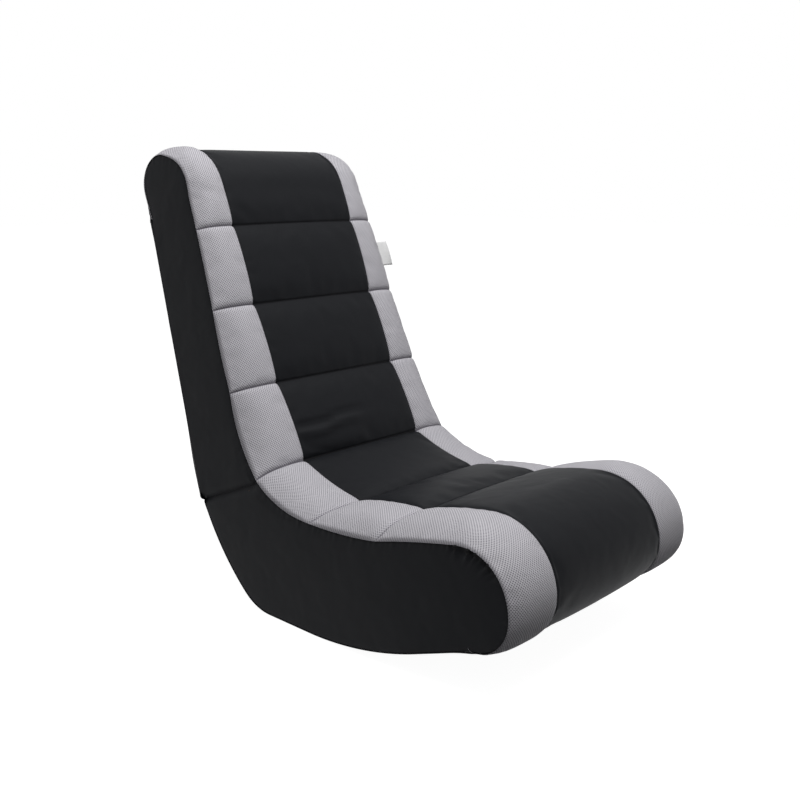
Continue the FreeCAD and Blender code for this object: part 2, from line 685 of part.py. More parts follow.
def back_frame(parts, mortises, hinge_screws):
    """Tapered plywood sides joined by two rails and the bottom board."""
    outline = back_outline()
    inside = COVER + PADDING + BOARD
    behind = inset(BACK_DECK, DECK)
    deck_line = math.degrees(math.atan2(behind[3][1] - behind[4][1], behind[3][0] - behind[4][0]))
    bottom = [slot_point(FRAME_SETBACK, FACE), rear_foot(REAR_PANEL, FACE),
              rear_foot(REAR_PANEL, FACE + BOARD),
              meet(behind[4], deck_line, slot_point(0, FACE + BOARD), -SLOT_ANGLE), behind[4]]
    top_low = towards(behind[0], behind[1], RAIL)
    rear_low = rear_point(REAR_PANEL + HEAD_BOARD_SETBACK, top_low[1])
    top = [behind[0], top_low, rear_low, HEAD_BOARD_REAR]
    rail_top = towards(behind[2], behind[1], RAIL_HEIGHT / 6)
    rail_end = towards(rail_top, behind[1], RAIL_HEIGHT)
    n = outward(behind[1], behind[2])
    middle = [rail_end, rail_top, (rail_top[0] - n[0] * RAIL, rail_top[1] - n[1] * RAIL),
              (rail_end[0] - n[0] * RAIL, rail_end[1] - n[1] * RAIL)]
    rails = {"back_bottom_board": bottom, "back_top_rail": top, "back_middle_rail": middle}
    places = [slot_point(slot_length() / 4, FACE + BOARD / 2),
              slot_point(3 * slot_length() / 4, FACE + BOARD / 2),
              centre(middle, 0.25), centre(middle, 0.75), centre(top, 0.25), centre(top, 0.75)]
    screws = frame_screws(places, back_side)
    for name, points in rails.items():
        rail = across(points, straight(points), back_side(inside))
        parts[name] = cut_all(rail, screws + mortises["back"] + hinge_screws["back"])
    for hand, board in boards(outline, back_side, COVER + PADDING, BOARD).items():
        parts["back_side_board_" + hand] = cut_all(board, screws)
    parts["back_frame_screws"] = Part.makeCompound(screws)
    for hand, pad in boards(outline, back_side, COVER, PADDING).items():
        parts["back_side_padding_" + hand] = pad
    parts["back_deck"] = sheet(BACK_DECK, [0.0] * 4, inset(BACK_DECK, DECK), back_side(COVER))


def centre(points, share):
    """A point on the middle line of a four-sided section, share of the way along."""
    a, b, c, d = points
    near = ((a[0] + b[0]) / 2, (a[1] + b[1]) / 2)
    far = ((c[0] + d[0]) / 2, (c[1] + d[1]) / 2)
    if math.dist(a, b) > math.dist(b, c):
        near, far = ((a[0] + d[0]) / 2, (a[1] + d[1]) / 2), ((b[0] + c[0]) / 2, (b[1] + c[1]) / 2)
    return (near[0] + (far[0] - near[0]) * share, near[1] + (far[1] - near[1]) * share)


def side_tag(parts):
    """A folded blank label, sewn into the right side seam of the backrest."""
    low = side_profile(1.0)[AT_SEAM_1 + 1]
    high = side_profile(1.0)[AT_SEAM_1]
    start = towards(high, low, TAG_DROP + TAG_HEIGHT)
    top = towards(high, low, TAG_DROP)
    raised = SOFT_CLEARANCE
    wires = []
    for reach in (0.0, TAG_REACH):
        corners = []
        for p, lift in ((start, 0.0), (top, 0.0), (top, TAG_THICKNESS), (start, TAG_THICKNESS)):
            x = half_width(p[1]) + raised + reach
            corners.append(FreeCAD.Vector(x, p[0] - lift, p[1]))
        wires.append(Part.makePolygon(corners + corners[:1]))
    parts["side_tag"] = Part.makeLoft(wires, True, True)


def build():
    parts = {}
    mortises, hinge_screws = {"base": [], "back": []}, {"base": [], "back": []}
    for hand, x in (("left", -HINGE_SPREAD / 2), ("right", HINGE_SPREAD / 2)):
        for half, upper in (("base", False), ("back", True)):
            leaf, mortise, screws = hinge(x, upper)
            parts[half + "_hinge_leaf_" + hand] = leaf
            mortises[half].append(mortise)
            hinge_screws[half] += screws
        parts["hinge_pin_" + hand] = hinge_pin(x)
    for half, screws in hinge_screws.items():
        parts[half + "_hinge_screws"] = Part.makeCompound(screws)
    base_frame(parts, mortises, hinge_screws)
    back_frame(parts, mortises, hinge_screws)
    seat_pads(parts)
    back_pads(parts)
    covers(parts)
    side_covers(parts)
    base_covers(parts)
    linings(parts, mortises)
    rear_panel(parts)
    side_tag(parts)
    return parts


def main():
    os.makedirs("parts", exist_ok=True)
    parts = build()
    box = FreeCAD.BoundBox()
    for shape in parts.values():
        box.add(shape.BoundBox)
    shift = FreeCAD.Vector(0, -box.Center.y, 0)
    for name, shape in parts.items():
        shape.translate(shift)
        shape.exportStep(os.path.join("parts", name + ".step"))
    print("chair", round(box.XLength, 2), round(box.YLength, 2), round(box.ZLength, 2))
    print("hinge axis", round(FOLD_AXIS[0] + shift.y, 3), round(FOLD_AXIS[1], 3))
    print("rest face centre", round((REST_FRONT + REST_REAR) / 2 + shift.y, 3))


main()
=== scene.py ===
import json
import math

import bpy
import numpy as np
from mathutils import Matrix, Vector


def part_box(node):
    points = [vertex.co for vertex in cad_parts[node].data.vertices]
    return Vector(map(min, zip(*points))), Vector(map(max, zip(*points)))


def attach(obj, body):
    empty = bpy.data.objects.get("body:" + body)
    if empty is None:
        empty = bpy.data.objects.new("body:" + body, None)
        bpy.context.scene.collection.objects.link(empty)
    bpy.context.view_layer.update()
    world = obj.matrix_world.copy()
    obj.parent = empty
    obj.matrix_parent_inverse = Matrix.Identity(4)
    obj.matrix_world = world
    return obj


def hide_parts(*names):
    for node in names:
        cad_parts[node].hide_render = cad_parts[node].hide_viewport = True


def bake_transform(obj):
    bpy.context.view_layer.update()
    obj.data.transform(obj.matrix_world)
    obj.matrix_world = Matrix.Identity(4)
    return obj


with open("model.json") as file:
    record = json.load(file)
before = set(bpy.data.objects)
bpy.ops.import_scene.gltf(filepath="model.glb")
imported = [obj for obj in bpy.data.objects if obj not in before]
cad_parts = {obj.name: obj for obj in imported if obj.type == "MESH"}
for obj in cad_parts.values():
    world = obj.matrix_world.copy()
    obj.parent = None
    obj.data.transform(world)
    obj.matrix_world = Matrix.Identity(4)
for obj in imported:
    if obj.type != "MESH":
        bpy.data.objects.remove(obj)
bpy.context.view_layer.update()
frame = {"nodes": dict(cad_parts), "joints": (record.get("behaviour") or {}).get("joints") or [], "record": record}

# Folding floor rocker chair. Covers of coated fabric and spacer mesh are sewn over
# foam, on a base and a backrest that fold together. Profiles are drawn in millimetres,
# with Y from the fold seam and Z from the floor, and are placed in the chair's frame
# by its hinge. Blender's own lengths are metres.

bl_info = {
    "name": "Folding rocker chair",
    "version": (1, 0, 0),
    "blender": (4, 5, 0),
    "location": "3D View > Sidebar > Rocker chair",
    "description": "Sews the covers of a folding floor rocker chair and lights it",
    "category": "Object",
}

MM = 0.001

# Padded front, as seen from the side: the same construction as the solids
SEAT_WIDTH = 430.0
BACK_WIDTH = 434.0
TOP_WIDTH = 358.0
CENTRE_WIDTH = 257.0
CHANNEL_PITCH = 128.5
FOLD_SEAM = (0.0, 228.0)
BACK_LEANS = (28.3, 23.4, 20.6)
SEAT_RISES = (-17.1, 7.1)
REAR_LEAN = 18.8
REAR_PANEL = 5.0
PANEL_TOP = (304.0, 584.0)
FOLD_AXIS = (28.0, 199.5)
SLOT_ANGLE = 22.0
HALF_GAP = 0.2
REST_FRONT = -96.0
REST_REAR = -8.0
FRONT_RADIUS = 600.0
FRONT_SWEEP = 20.5
HEEL_RADIUS = 90.0
HEEL_SWEEP = 40.0
REAR_RADIUS = 380.0
REAR_SLOPE = 60.0
HINGE_SPREAD = 250.0
HINGE_LENGTH = 60.0
LEAF_REACH = 34.0
SEAM_SWEEP = 22.0
GUSSET_DEPTH = 18.0
HALF_CENTRE = CENTRE_WIDTH / 2

# How the covers are drawn in and gathered: depths, and how far they reach from a seam
CORNER_REACH = 9.0
STITCH_WIDTH = 1.1
CROSS_REACH = 3.0
CROSS_SLOPE = 12.0
EDGE_REACH = 2.2
END_TUCK = 5.0
END_REACH = 2.5
FINE_GATHERS = 0.35
FINE_PITCH = 17.0
EDGE_GATHERS = 0.4
EDGE_PITCH = 23.0
CREASE_PLACE = 48.0
CREASE_RIDGE = 6.0
CREASE_VALLEY = 7.0
SIDE_TUCK = 1.8
SLOT_TUCK = 6.0
SLOT_REACH = 6.0
SLOT_BULGE = 1.0
GATHER_PLACE = 34.0
GATHER_REACH = 40.0
GATHER_PITCH = 11.0
GATHER_VALLEY = 2.5
SLACK_PITCH = 95.0
LINING_INSET = 11.0
LABEL_TOP = 38.0
LABEL_END = 82.0

# The cloth's ease on its foam, as a share of its size, and the steps that settle it
CLOTH_EASE = 0.008
CLOTH_PRESSURE = 4.0
CLOTH_BENDING = 0.8
SETTLE_STEPS = 14

# Studio, in metres and degrees. The camera was fitted to the seams, with Y from the fold
CAMERA_PLACE = (-1.1138, -1.1230, 0.6525)
CAMERA_DIP = 12.558
CAMERA_TURN = -46.872
LAMP_PLACE = (-0.15, -0.48, 1.88)
LAMP_AIM = (0.0, -0.1, 0.3)
LAMP_SIZE = (1.5, 1.3)
FLOOR_REACH = 12.0
FLOOR_GLOW = 0.95

SHIFT_Y = frame["joints"][0]["pos_m"][1] / MM - FOLD_AXIS[0]


def along(start, length, degrees):
    turn = math.radians(degrees)
    return (start[0] + length * math.cos(turn), start[1] + length * math.sin(turn))


def step(start, move):
    return (start[0] + move[0], start[1] + move[1])


def towards(start, goal, distance):
    dy, dz = goal[0] - start[0], goal[1] - start[1]
    share = distance / math.hypot(dy, dz)
    return (start[0] + dy * share, start[1] + dz * share)


def slot_point(along_slot, above):
    """A point of the fold slot, from the hinge axis: towards the rear, and up."""
    turn = math.radians(SLOT_ANGLE)
    y = FOLD_AXIS[0] + along_slot * math.cos(turn) + above * math.sin(turn)
    z = FOLD_AXIS[1] - along_slot * math.sin(turn) + above * math.cos(turn)
    return (y, z)


def meet(a, angle_a, b, angle_b):
    """Where two lines cross, each through a point at an angle in degrees."""
    ta, tb = math.radians(angle_a), math.radians(angle_b)
    across = math.cos(ta) * math.sin(tb) - math.sin(ta) * math.cos(tb)
    dy, dz = b[0] - a[0], b[1] - a[1]
    reach = (dy * math.sin(tb) - dz * math.cos(tb)) / across
    return (a[0] + reach * math.cos(ta), a[1] + reach * math.sin(ta))


def rear_point(depth, z):
    """A point of the backrest's straight rear line, depth inside it."""
    lean = math.radians(REAR_LEAN)
    y = PANEL_TOP[0] + (z - PANEL_TOP[1]) * math.tan(lean) - depth / math.cos(lean)
    return (y, z)


def rear_foot(depth, above_slot):
    """Where the backrest's rear line meets a line above the slot."""
    upright = rear_point(depth, PANEL_TOP[1])
    return meet(upright, 90 - REAR_LEAN, slot_point(0, above_slot), -SLOT_ANGLE)


def rocker(end_y):
    """The floor line from end_y back to the slot, and the crowns of its stretches."""
    sweep, heel = math.radians(FRONT_SWEEP), math.radians(HEEL_SWEEP)
    slope = math.radians(REAR_SLOPE)
    rise = (REST_FRONT - FRONT_RADIUS * math.sin(sweep),
            FRONT_RADIUS - FRONT_RADIUS * math.cos(sweep))
    nose = (end_y, rise[1] + (rise[0] - end_y) * math.tan(sweep))
    heel_end = (REST_REAR + HEEL_RADIUS * math.sin(heel),
                HEEL_RADIUS - HEEL_RADIUS * math.cos(heel))
    middle = (REST_REAR + (HEEL_RADIUS - REAR_RADIUS) * math.sin(heel),
              HEEL_RADIUS + (REAR_RADIUS - HEEL_RADIUS) * math.cos(heel))
    rear = (middle[0] + REAR_RADIUS * math.sin(slope),
            middle[1] - REAR_RADIUS * math.cos(slope))
    corner = meet(rear, REAR_SLOPE, slot_point(0, -HALF_GAP), -SLOT_ANGLE)
    points = [nose, rise, (REST_FRONT, 0.0), (REST_REAR, 0.0), heel_end, rear, corner]
    crowns = [0.0, FRONT_RADIUS * (1 - math.cos(sweep / 2)), 0.0,
              HEEL_RADIUS * (1 - math.cos(heel / 2)),
              REAR_RADIUS * (1 - math.cos((slope - heel) / 2)), 0.0]
    return points, crowns


SEAM_3 = along(FOLD_SEAM, CHANNEL_PITCH, 90 - BACK_LEANS[0])
SEAM_2 = along(SEAM_3, CHANNEL_PITCH, 90 - BACK_LEANS[1])
SEAM_1 = along(SEAM_2, CHANNEL_PITCH, 90 - BACK_LEANS[2])
SEAM_5 = along(FOLD_SEAM, CHANNEL_PITCH, 180 - SEAT_RISES[0])
SEAM_6 = along(SEAM_5, CHANNEL_PITCH, 180 - SEAT_RISES[1])
HEAD_1 = step(SEAM_1, (22.0, 57.5))
HEAD_2 = step(HEAD_1, (77.0, 59.0))
HEAD_4 = rear_point(REAR_PANEL, PANEL_TOP[1])
HEAD_3 = step(HEAD_4, (20.5, 47.5))
ROLL_1 = step(SEAM_6, (-122.4, 23.8))
ROLL_2 = step(ROLL_1, (-96.5, -83.0))
ROLL_3 = rocker(ROLL_2[0] + 71.5)[0][0]

# Rear ends of the slot's two faces
SEAT_END = rocker(0)[0][-1]
BACK_END = rear_foot(REAR_PANEL, HALF_GAP)

# Down the padded front: the point, how far the side seam lies inside it, and the
# crown of the stretch that follows, at the centre strip and at the side seam
FRONT = (
    (HEAD_4, 2.0, 1.0, 0.3),
    (HEAD_3, -1.5, 22.0, 26.0),
    (HEAD_2, 12.0, 16.0, 16.0),
    (HEAD_1, 21.0, 1.0, 0.3),
    (SEAM_1, 18.0, 3.5, 0.5),
    (SEAM_2, 18.0, 3.5, -2.5),
    (SEAM_3, 23.5, 3.5, -10.0),
    (FOLD_SEAM, 23.5, -6.0, -10.0),
    (SEAM_5, 20.5, 3.5, -3.0),
    (SEAM_6, 25.0, 3.5, 1.5),
    (ROLL_1, 22.5, 25.5, 25.5),
    (ROLL_2, 11.0, 24.0, 24.0),
    (ROLL_3, 1.0, 0.0, 0.0),
)
AT_SEAM_1, AT_SEAM_3, AT_FOLD, AT_SEAM_5, AT_SEAM_6, AT_ROLL_1 = 4, 6, 7, 8, 9, 10
SWEPT = (8, 9)
# Stretches between cross seams; the head and the front roll are one stretch each
STRETCHES = ((0, 4), (4, 5), (5, 6), (6, 7), (7, 8), (8, 9), (9, 12))
# How far the centre strip and the stripes stand out at each of the points above. The
# padding isn't even: it is fuller on one side of the head and of the front roll.
CENTRE_SWELL = (0.0, -0.5, -0.5, -0.5, 3.0, 3.0, 3.0, 3.0, 3.0, 3.0, 3.5, 2.0, 0.5)
LEFT_SWELL = (0.0, 4.0, 4.5, 3.5, 2.5, 2.5, 2.5, 2.5, 2.5, 3.0, 4.5, 4.5, 3.0)
RIGHT_SWELL = (0.0, 1.0, -0.5, 2.0, 2.5, 3.5, 5.5, 5.0, -5.0, -2.5, 7.0, 1.0, 1.5)


def outward(a, b):
    dy, dz = b[0] - a[0], b[1] - a[1]
    size = math.hypot(dy, dz)
    return (dz / size, -dy / size)


def blended_normal(points, i):
    """The outward direction at a point of a line, midway between its two stretches'."""
    ways = [outward(a, b) for a, b in zip(points, points[1:])]
    total = np.sum(ways[max(i - 1, 0):i + 1], axis=0)
    return total / np.linalg.norm(total)


def half_back(z):
    """Half the backrest's width at a height: it tapers evenly to the top."""
    foot = rear_foot(0, 0)[1]
    return BACK_WIDTH / 2 - (BACK_WIDTH - TOP_WIDTH) / 2 * (z - foot) / (HEAD_2[1] - foot)


def half_width(y, z):
    """Half the chair's width at a point of its side view, with an even change at the fold."""
    above = (y - FOLD_AXIS[0]) * math.sin(math.radians(SLOT_ANGLE))
    above = above + (z - FOLD_AXIS[1]) * math.cos(math.radians(SLOT_ANGLE))
    share = np.clip((above + 20.0) / 40.0, 0.0, 1.0)
    return SEAT_WIDTH / 2 * (1 - share) + half_back(z) * share


def arc(a, b, crown, cell=1.5):
    """Points from a up to b, not with b, on an arc that stands out by crown."""
    a, b = np.array(a, float), np.array(b, float)
    chord = np.linalg.norm(b - a)
    count = max(4, int(chord / cell))
    t = np.arange(count) / count
    if abs(crown) < 1e-6:
        return a + (b - a) * t[:, None]
    radius = (chord * chord / 4 + crown * crown) / (2 * crown)
    half = math.asin(max(-1.0, min(1.0, chord / 2 / abs(radius))))
    if abs(crown) > chord / 2:
        half = math.pi - half
    angle = (2 * t - 1) * half
    ahead = (b - a) / chord
    out = np.array(outward(a, b))
    middle = (a + b) / 2 + out * (crown - radius)
    side = math.copysign(1.0, crown)
    return (middle + ahead * (abs(radius) * np.sin(angle))[:, None]
            + out * (side * abs(radius) * np.cos(angle))[:, None])


def line_length(line):
    return np.concatenate([[0.0], np.cumsum(np.linalg.norm(np.diff(line, axis=0), axis=1))])


def points_at(line, at, wanted):
    """Points of a line at wanted distances, with the distance of each of its own."""
    return np.stack([np.interp(wanted, at, line[:, i]) for i in range(2)], 1)


def resample(line, shares):
    at = line_length(line)
    return points_at(line, at, np.asarray(shares) * at[-1])


def left_normals(line):
    """Unit vectors across a line, on the left of the way it runs in the side view."""
    ahead = np.gradient(line, axis=0)
    ahead /= np.linalg.norm(ahead, axis=1)[:, None]
    return np.stack([-ahead[:, 1], ahead[:, 0]], 1)


def soften(even, reach):
    """Rounds the corners of a line that has a point every millimetre, ends held."""
    count = int(3 * reach)
    weight = np.exp(-0.5 * (np.arange(-count, count + 1) / reach) ** 2)
    weight /= weight.sum()
    ahead = 2 * even[0] - even[count:0:-1]
    after = 2 * even[-1] - even[-2:-count - 2:-1]
    padded = np.concatenate([ahead, even, after])
    return np.stack([np.convolve(padded[:, i], weight, "valid") for i in range(2)], 1)


def spaced(length, cell):
    """Distances from 0 to length, close together at both ends where a seam is."""
    near = np.array([0.0, 0.9, 2.0, 3.6, 6.0, 9.5])
    inner = np.linspace(near[-1], length - near[-1], max(2, int((length - 19) / cell) + 1))
    return np.concatenate([near, inner[1:-1], length - near[::-1]])


def control_points(drop):
    points = [p for p, _, _, _ in FRONT]
    moved = []
    for i, (p, side_drop, _, _) in enumerate(FRONT):
        n = blended_normal(points, i)
        back = SEAM_SWEEP * drop if i in SWEPT else 0.0
        moved.append((p[0] - n[0] * side_drop * drop + n[1] * back,
                      p[1] - n[1] * side_drop * drop - n[0] * back))
    return moved


def whole_line(drop):
    """The padded front at one plane, every millimetre, and where its points lie on it.
    Cross seams stay sharp in the middle of the chair and are rounded at its sides."""
    points = control_points(drop)
    parts, marks = [], [0.0]
    for k, (_, _, centre, side) in enumerate(FRONT[:-1]):
        part = arc(points[k], points[k + 1], centre + (side - centre) * drop)
        parts.append(part)
        marks.append(marks[-1] + line_length(np.concatenate([part, [points[k + 1]]]))[-1])
    raw = np.concatenate(parts + [np.array([points[-1]])])
    at = np.linspace(0, marks[-1], int(marks[-1]) + 1)
    even = resample(raw, at / at[-1])
    sharp = [drop if AT_SEAM_1 <= k <= AT_SEAM_6 else 1.0 for k in range(len(FRONT))]
    rounded = np.interp(at, marks, sharp)[:, None] * (soften(even, CORNER_REACH) - even)
    return at, even + rounded, np.array(marks)


def stretch_shares(cell):
    """Where each stretch is sampled, and how far along the front each sample lies."""
    marks = whole_line(0.0)[2]
    shares, places = [], []
    for i, j in STRETCHES:
        steps = spaced(marks[j] - marks[i], cell)
        shares.append(steps / steps[-1])
        places.append(marks[i] + steps[:-1])
    places.append(marks[-1:])
    return shares, np.concatenate(places), marks


def front_line(drop, shares):
    """The whole padded front at one plane: points and outward normals."""
    at, even, marks = whole_line(drop)
    wanted = [marks[i] + share[:-1] * (marks[j] - marks[i])
              for (i, j), share in zip(STRETCHES, shares)]
    wanted = np.concatenate(wanted + [marks[-1:]])
    line = points_at(even, at, wanted)
    return line, -left_normals(line)


def placed(x, yz):
    """Points of the chair in metres from a side view in millimetres."""
    y = (yz[..., 0] + SHIFT_Y) * MM
    return np.stack([np.asarray(x) * MM, y, yz[..., 1] * MM], -1)


def linked(name, data):
    """A new object of the scene."""
    made = bpy.data.objects.new(name, data)
    bpy.context.scene.collection.objects.link(made)
    return made


def thicken(made, thickness):
    """Gives a sheet its thickness in millimetres, evenly on both faces."""
    thick = made.modifiers.new("thickness", "SOLIDIFY")
    thick.thickness = thickness * MM
    thick.offset = 0.0


def grid_object(name, points, cloth, facing, dark_seam_and_painted_shade=None):
    """A mesh from rows of points whose normals face one way, with its flat cloth layout
    in metres as UVs and a mark, from 0 to 1, of how dark each point is: its seam thread, and painted shade."""
    rows, columns = points.shape[:2]
    index = np.arange(rows * columns).reshape(rows, columns)
    quads = np.stack([index[:-1, :-1], index[1:, :-1], index[1:, 1:], index[:-1, 1:]], -1)
    quads = quads.reshape(-1, 4)
    r, c = rows // 2, columns // 2
    normal = np.cross(points[r, c + 1] - points[r, c], points[r + 1, c] - points[r, c])
    if np.dot(normal, facing) > 0:
        quads = quads[:, ::-1]
    mesh = bpy.data.meshes.new(name)
    mesh.from_pydata(points.reshape(-1, 3).tolist(), [], quads.tolist())
    layer = mesh.uv_layers.new(name="cloth")
    corners = np.zeros(len(mesh.loops), np.int32)
    mesh.loops.foreach_get("vertex_index", corners)
    layer.data.foreach_set("uv", cloth.reshape(-1, 2)[corners].astype(np.float32).ravel())
    if dark_seam_and_painted_shade is not None:
        # The 'seam' attribute darkens the colour: the seam thread, and painted shade
        marks = mesh.attributes.new("seam", "FLOAT", "POINT")
        marks.data.foreach_set("value", np.asarray(dark_seam_and_painted_shade, np.float32).ravel())
    mesh.shade_smooth()
    return linked(name, mesh)


def draped(name, columns, span, facing):
    """A sheet whose columns are places across the chair and lines of its side view."""
    points = np.stack([placed(x, line) for x, line in columns], 1)
    layout = np.stack([np.stack([x * MM, span * MM], 1) for x, _ in columns], 1)
    return grid_object(name, points, layout, facing)


def fall(gap, reach, power=1):
    """1 at a seam, and less and less away from it."""
    return np.exp(-(gap / reach) ** power)


def ripple(along_seam, pitch, seed):
    """Uneven gathers along a seam, between -1 and 1, the same on every run."""
    a = np.sin(2 * math.pi * along_seam / pitch + seed)
    b = np.sin(2 * math.pi * along_seam / (pitch * 1.7) + 2.1 * seed)
    c = np.sin(2 * math.pi * along_seam / (pitch * 3.3) + 0.7 * seed)
    return (a * (0.6 + 0.4 * c) + 0.5 * b) / 1.5


def settle(made, held, swell):
    """Lets cloth, a little larger than its seams, be pushed out from the foam while its
    seams hold, and keeps the result. No point moves further than swell."""
    scene, mesh = bpy.context.scene, made.data
    start = np.zeros(len(mesh.vertices) * 3)
    mesh.vertices.foreach_get("co", start)
    group = made.vertex_groups.new(name="held")
    group.add(np.flatnonzero(held).tolist(), 1.0, "REPLACE")
    cloth = made.modifiers.new("cloth", "CLOTH")
    cloth.collision_settings.use_self_collision = False
    cloth.settings.quality = 5
    cloth.settings.vertex_group_mass = group.name
    cloth.settings.bending_stiffness = CLOTH_BENDING
    cloth.settings.shrink_min = cloth.settings.shrink_max = -CLOTH_EASE
    cloth.settings.use_pressure = True
    cloth.settings.uniform_pressure_force = CLOTH_PRESSURE
    cloth.settings.effector_weights.gravity = 0.0
    for step_number in range(1, SETTLE_STEPS + 1):
        scene.frame_set(step_number)
    end = np.zeros_like(start)
    settled = made.evaluated_get(bpy.context.evaluated_depsgraph_get())
    settled.data.vertices.foreach_get("co", end)
    move = (end - start).reshape(-1, 3)
    far = np.linalg.norm(move, axis=1, keepdims=True)
    if not np.isfinite(far).all():
        raise RuntimeError("the cloth of " + made.name + " didn't settle")
    move *= swell * np.tanh(far / swell) / np.maximum(far, 1e-9)
    mesh.vertices.foreach_set("co", start + move.ravel())
    mesh.update()
    made.modifiers.remove(cloth)
    made.vertex_groups.remove(group)
    scene.frame_set(1)


def sewn_front(name, stations, swells, settings, side=0, crease=None):
    """A strip of the padded front, sunk along its cross seams and its long edges. Its
    side is -1 or 1 for a stripe and 0 for the centre strip."""
    shares, places, marks = stretch_shares(settings.cell / MM)
    seams = marks[AT_SEAM_1:AT_SEAM_6 + 1]
    seam_gap = np.abs(places[:, None] - seams[None, :]).min(1)
    columns, dark_seam_and_painted_shade, gaps = [], [], []
    for across, drop, lift, edge_gap in stations:
        line, normal = front_line(drop, shares)
        height = np.interp(places, marks, swells) * lift
        height -= END_TUCK * fall(marks[-1] - places, END_REACH)
        # A cross seam pulls the padding in less and less towards the side seam
        pull = (1 - drop ** 8) * settings.seam_depth / MM
        height -= pull * fall(seam_gap, CROSS_REACH)
        height -= 0.5 * pull * fall(seam_gap, CROSS_SLOPE)
        height -= settings.edge_depth / MM * math.exp(-edge_gap / EDGE_REACH)
        fine = ripple(np.full_like(places, across) + 0.15 * places, FINE_PITCH, 1.3)
        height += FINE_GATHERS * fine * fall(seam_gap, 9.0) * (1 - fall(seam_gap, 2.0))
        pulled = ripple(places, EDGE_PITCH, 0.4 + (side or 1))
        pulled *= math.exp(-edge_gap / 10.0) * (1 - math.exp(-edge_gap / 2.5))
        height += EDGE_GATHERS * pulled
        if crease is not None:
            height += crease(across, places, marks)
        line = line + normal * height[:, None]
        x = np.full(len(line), across)
        if side:
            half = half_width(line[:, 0], line[:, 1])
            x = side * (HALF_CENTRE + abs(across) * (half - HALF_CENTRE))
        columns.append(placed(x, line))
        gaps.append(np.minimum(seam_gap, edge_gap))
        # The mark is the dark stitch thread, with painted shade of the cloth drawn into the seam
        dark_seam_and_painted_shade.append(np.maximum(fall(seam_gap, STITCH_WIDTH, 2),
                               0.4 * math.exp(-(edge_gap / STITCH_WIDTH) ** 2)))
    points = np.stack(columns, 1)
    widths = np.linalg.norm(np.diff(points, axis=1), axis=2)
    across = np.concatenate([np.zeros((len(points), 1)), np.cumsum(widths, axis=1)], 1)
    down = np.repeat(places[:, None] * MM, points.shape[1], 1)
    made = grid_object(name, points, np.stack([across, down], -1), (0.0, -0.4, 1.0),
                       np.stack(dark_seam_and_painted_shade, 1))
    held = np.stack(gaps, 1) < 2.1
    held[[0, -1]] = True
    settle(made, held, settings.swell)
    return made


def linear(hex_colour):
    """An sRGB hex colour as the linear one that a shader takes."""
    parts = [int(hex_colour[i:i + 2], 16) / 255 for i in (1, 3, 5)]
    lit = [p / 12.92 if p <= 0.04045 else ((p + 0.055) / 1.055) ** 2.4 for p in parts]
    return (*lit, 1.0)


def plug(tree, socket, value):
    """Plugs in another node's output, or sets a hex colour or another even value."""
    if isinstance(value, bpy.types.NodeSocket):
        tree.links.new(value, socket)
    else:
        socket.default_value = linear(value) if isinstance(value, str) else value


def add_node(tree, kind, inputs=None, **settings):
    """Adds a node with its settings and its inputs."""
    made = tree.nodes.new(kind)
    for name, value in settings.items():
        setattr(made, name, value)
    for socket, value in (inputs or {}).items():
        plug(tree, made.inputs[socket], value)
    return made


def new_material(name):
    """A named material with an empty tree, its shader and its output."""
    made = bpy.data.materials.new(name)
    made.use_nodes = True
    tree = made.node_tree
    tree.nodes.clear()
    shader = add_node(tree, "ShaderNodeBsdfPrincipled")
    add_node(tree, "ShaderNodeOutputMaterial", {"Surface": shader.outputs["BSDF"]})
    return made, tree, shader


def surfaced(material, shader, looks):
    """The material, with its looks plugged into the shader or set on its sockets."""
    for socket, value in looks.items():
        plug(material.node_tree, shader.inputs[socket], value)
    return material


def dress(made, material):
    """Gives a piece its material."""
    made.data.materials.append(material)


def object_space(tree, scale=(1.0, 1.0, 1.0)):
    """The piece's own space, with patterns drawn out along an axis by a scale below 1."""
    place = add_node(tree, "ShaderNodeTexCoord").outputs["Object"]
    return add_node(tree, "ShaderNodeMapping", {"Scale": scale, "Vector": place}).outputs[0]


def noise(tree, place, scale, detail, distortion=0.0):
    return add_node(tree, "ShaderNodeTexNoise", {"Vector": place, "Scale": scale,
                                                 "Detail": detail,
                                                 "Distortion": distortion}).outputs["Fac"]


def maths(tree, operation, a, b):
    return add_node(tree, "ShaderNodeMath", {0: a, 1: b}, operation=operation).outputs[0]


def spread(tree, source, low, high):
    """A value between 0 and 1, stretched to a range."""
    return add_node(tree, "ShaderNodeMapRange", {"Value": source, "To Min": low,
                                                 "To Max": high}).outputs["Result"]


def colour_mix(tree, factor, low, high):
    """A colour between two, each a hex colour or another node's output."""
    return add_node(tree, "ShaderNodeMix", {"Factor": factor, "A": low, "B": high},
                    data_type="RGBA").outputs["Result"]


def relief(tree, height, strength, distance, **under):
    """A bump whose distance is in metres, on another one if that is given."""
    return add_node(tree, "ShaderNodeBump", {"Height": height, "Strength": strength,
                                             "Distance": distance, **under}).outputs["Normal"]


def seam_thread_and_painted_shade(tree):
    """How much a point is darkened: the dark seam thread, and painted shade where cloth is drawn into a seam or a
    fold.
    """
    return add_node(tree, "ShaderNodeAttribute", attribute_name="seam").outputs["Fac"]


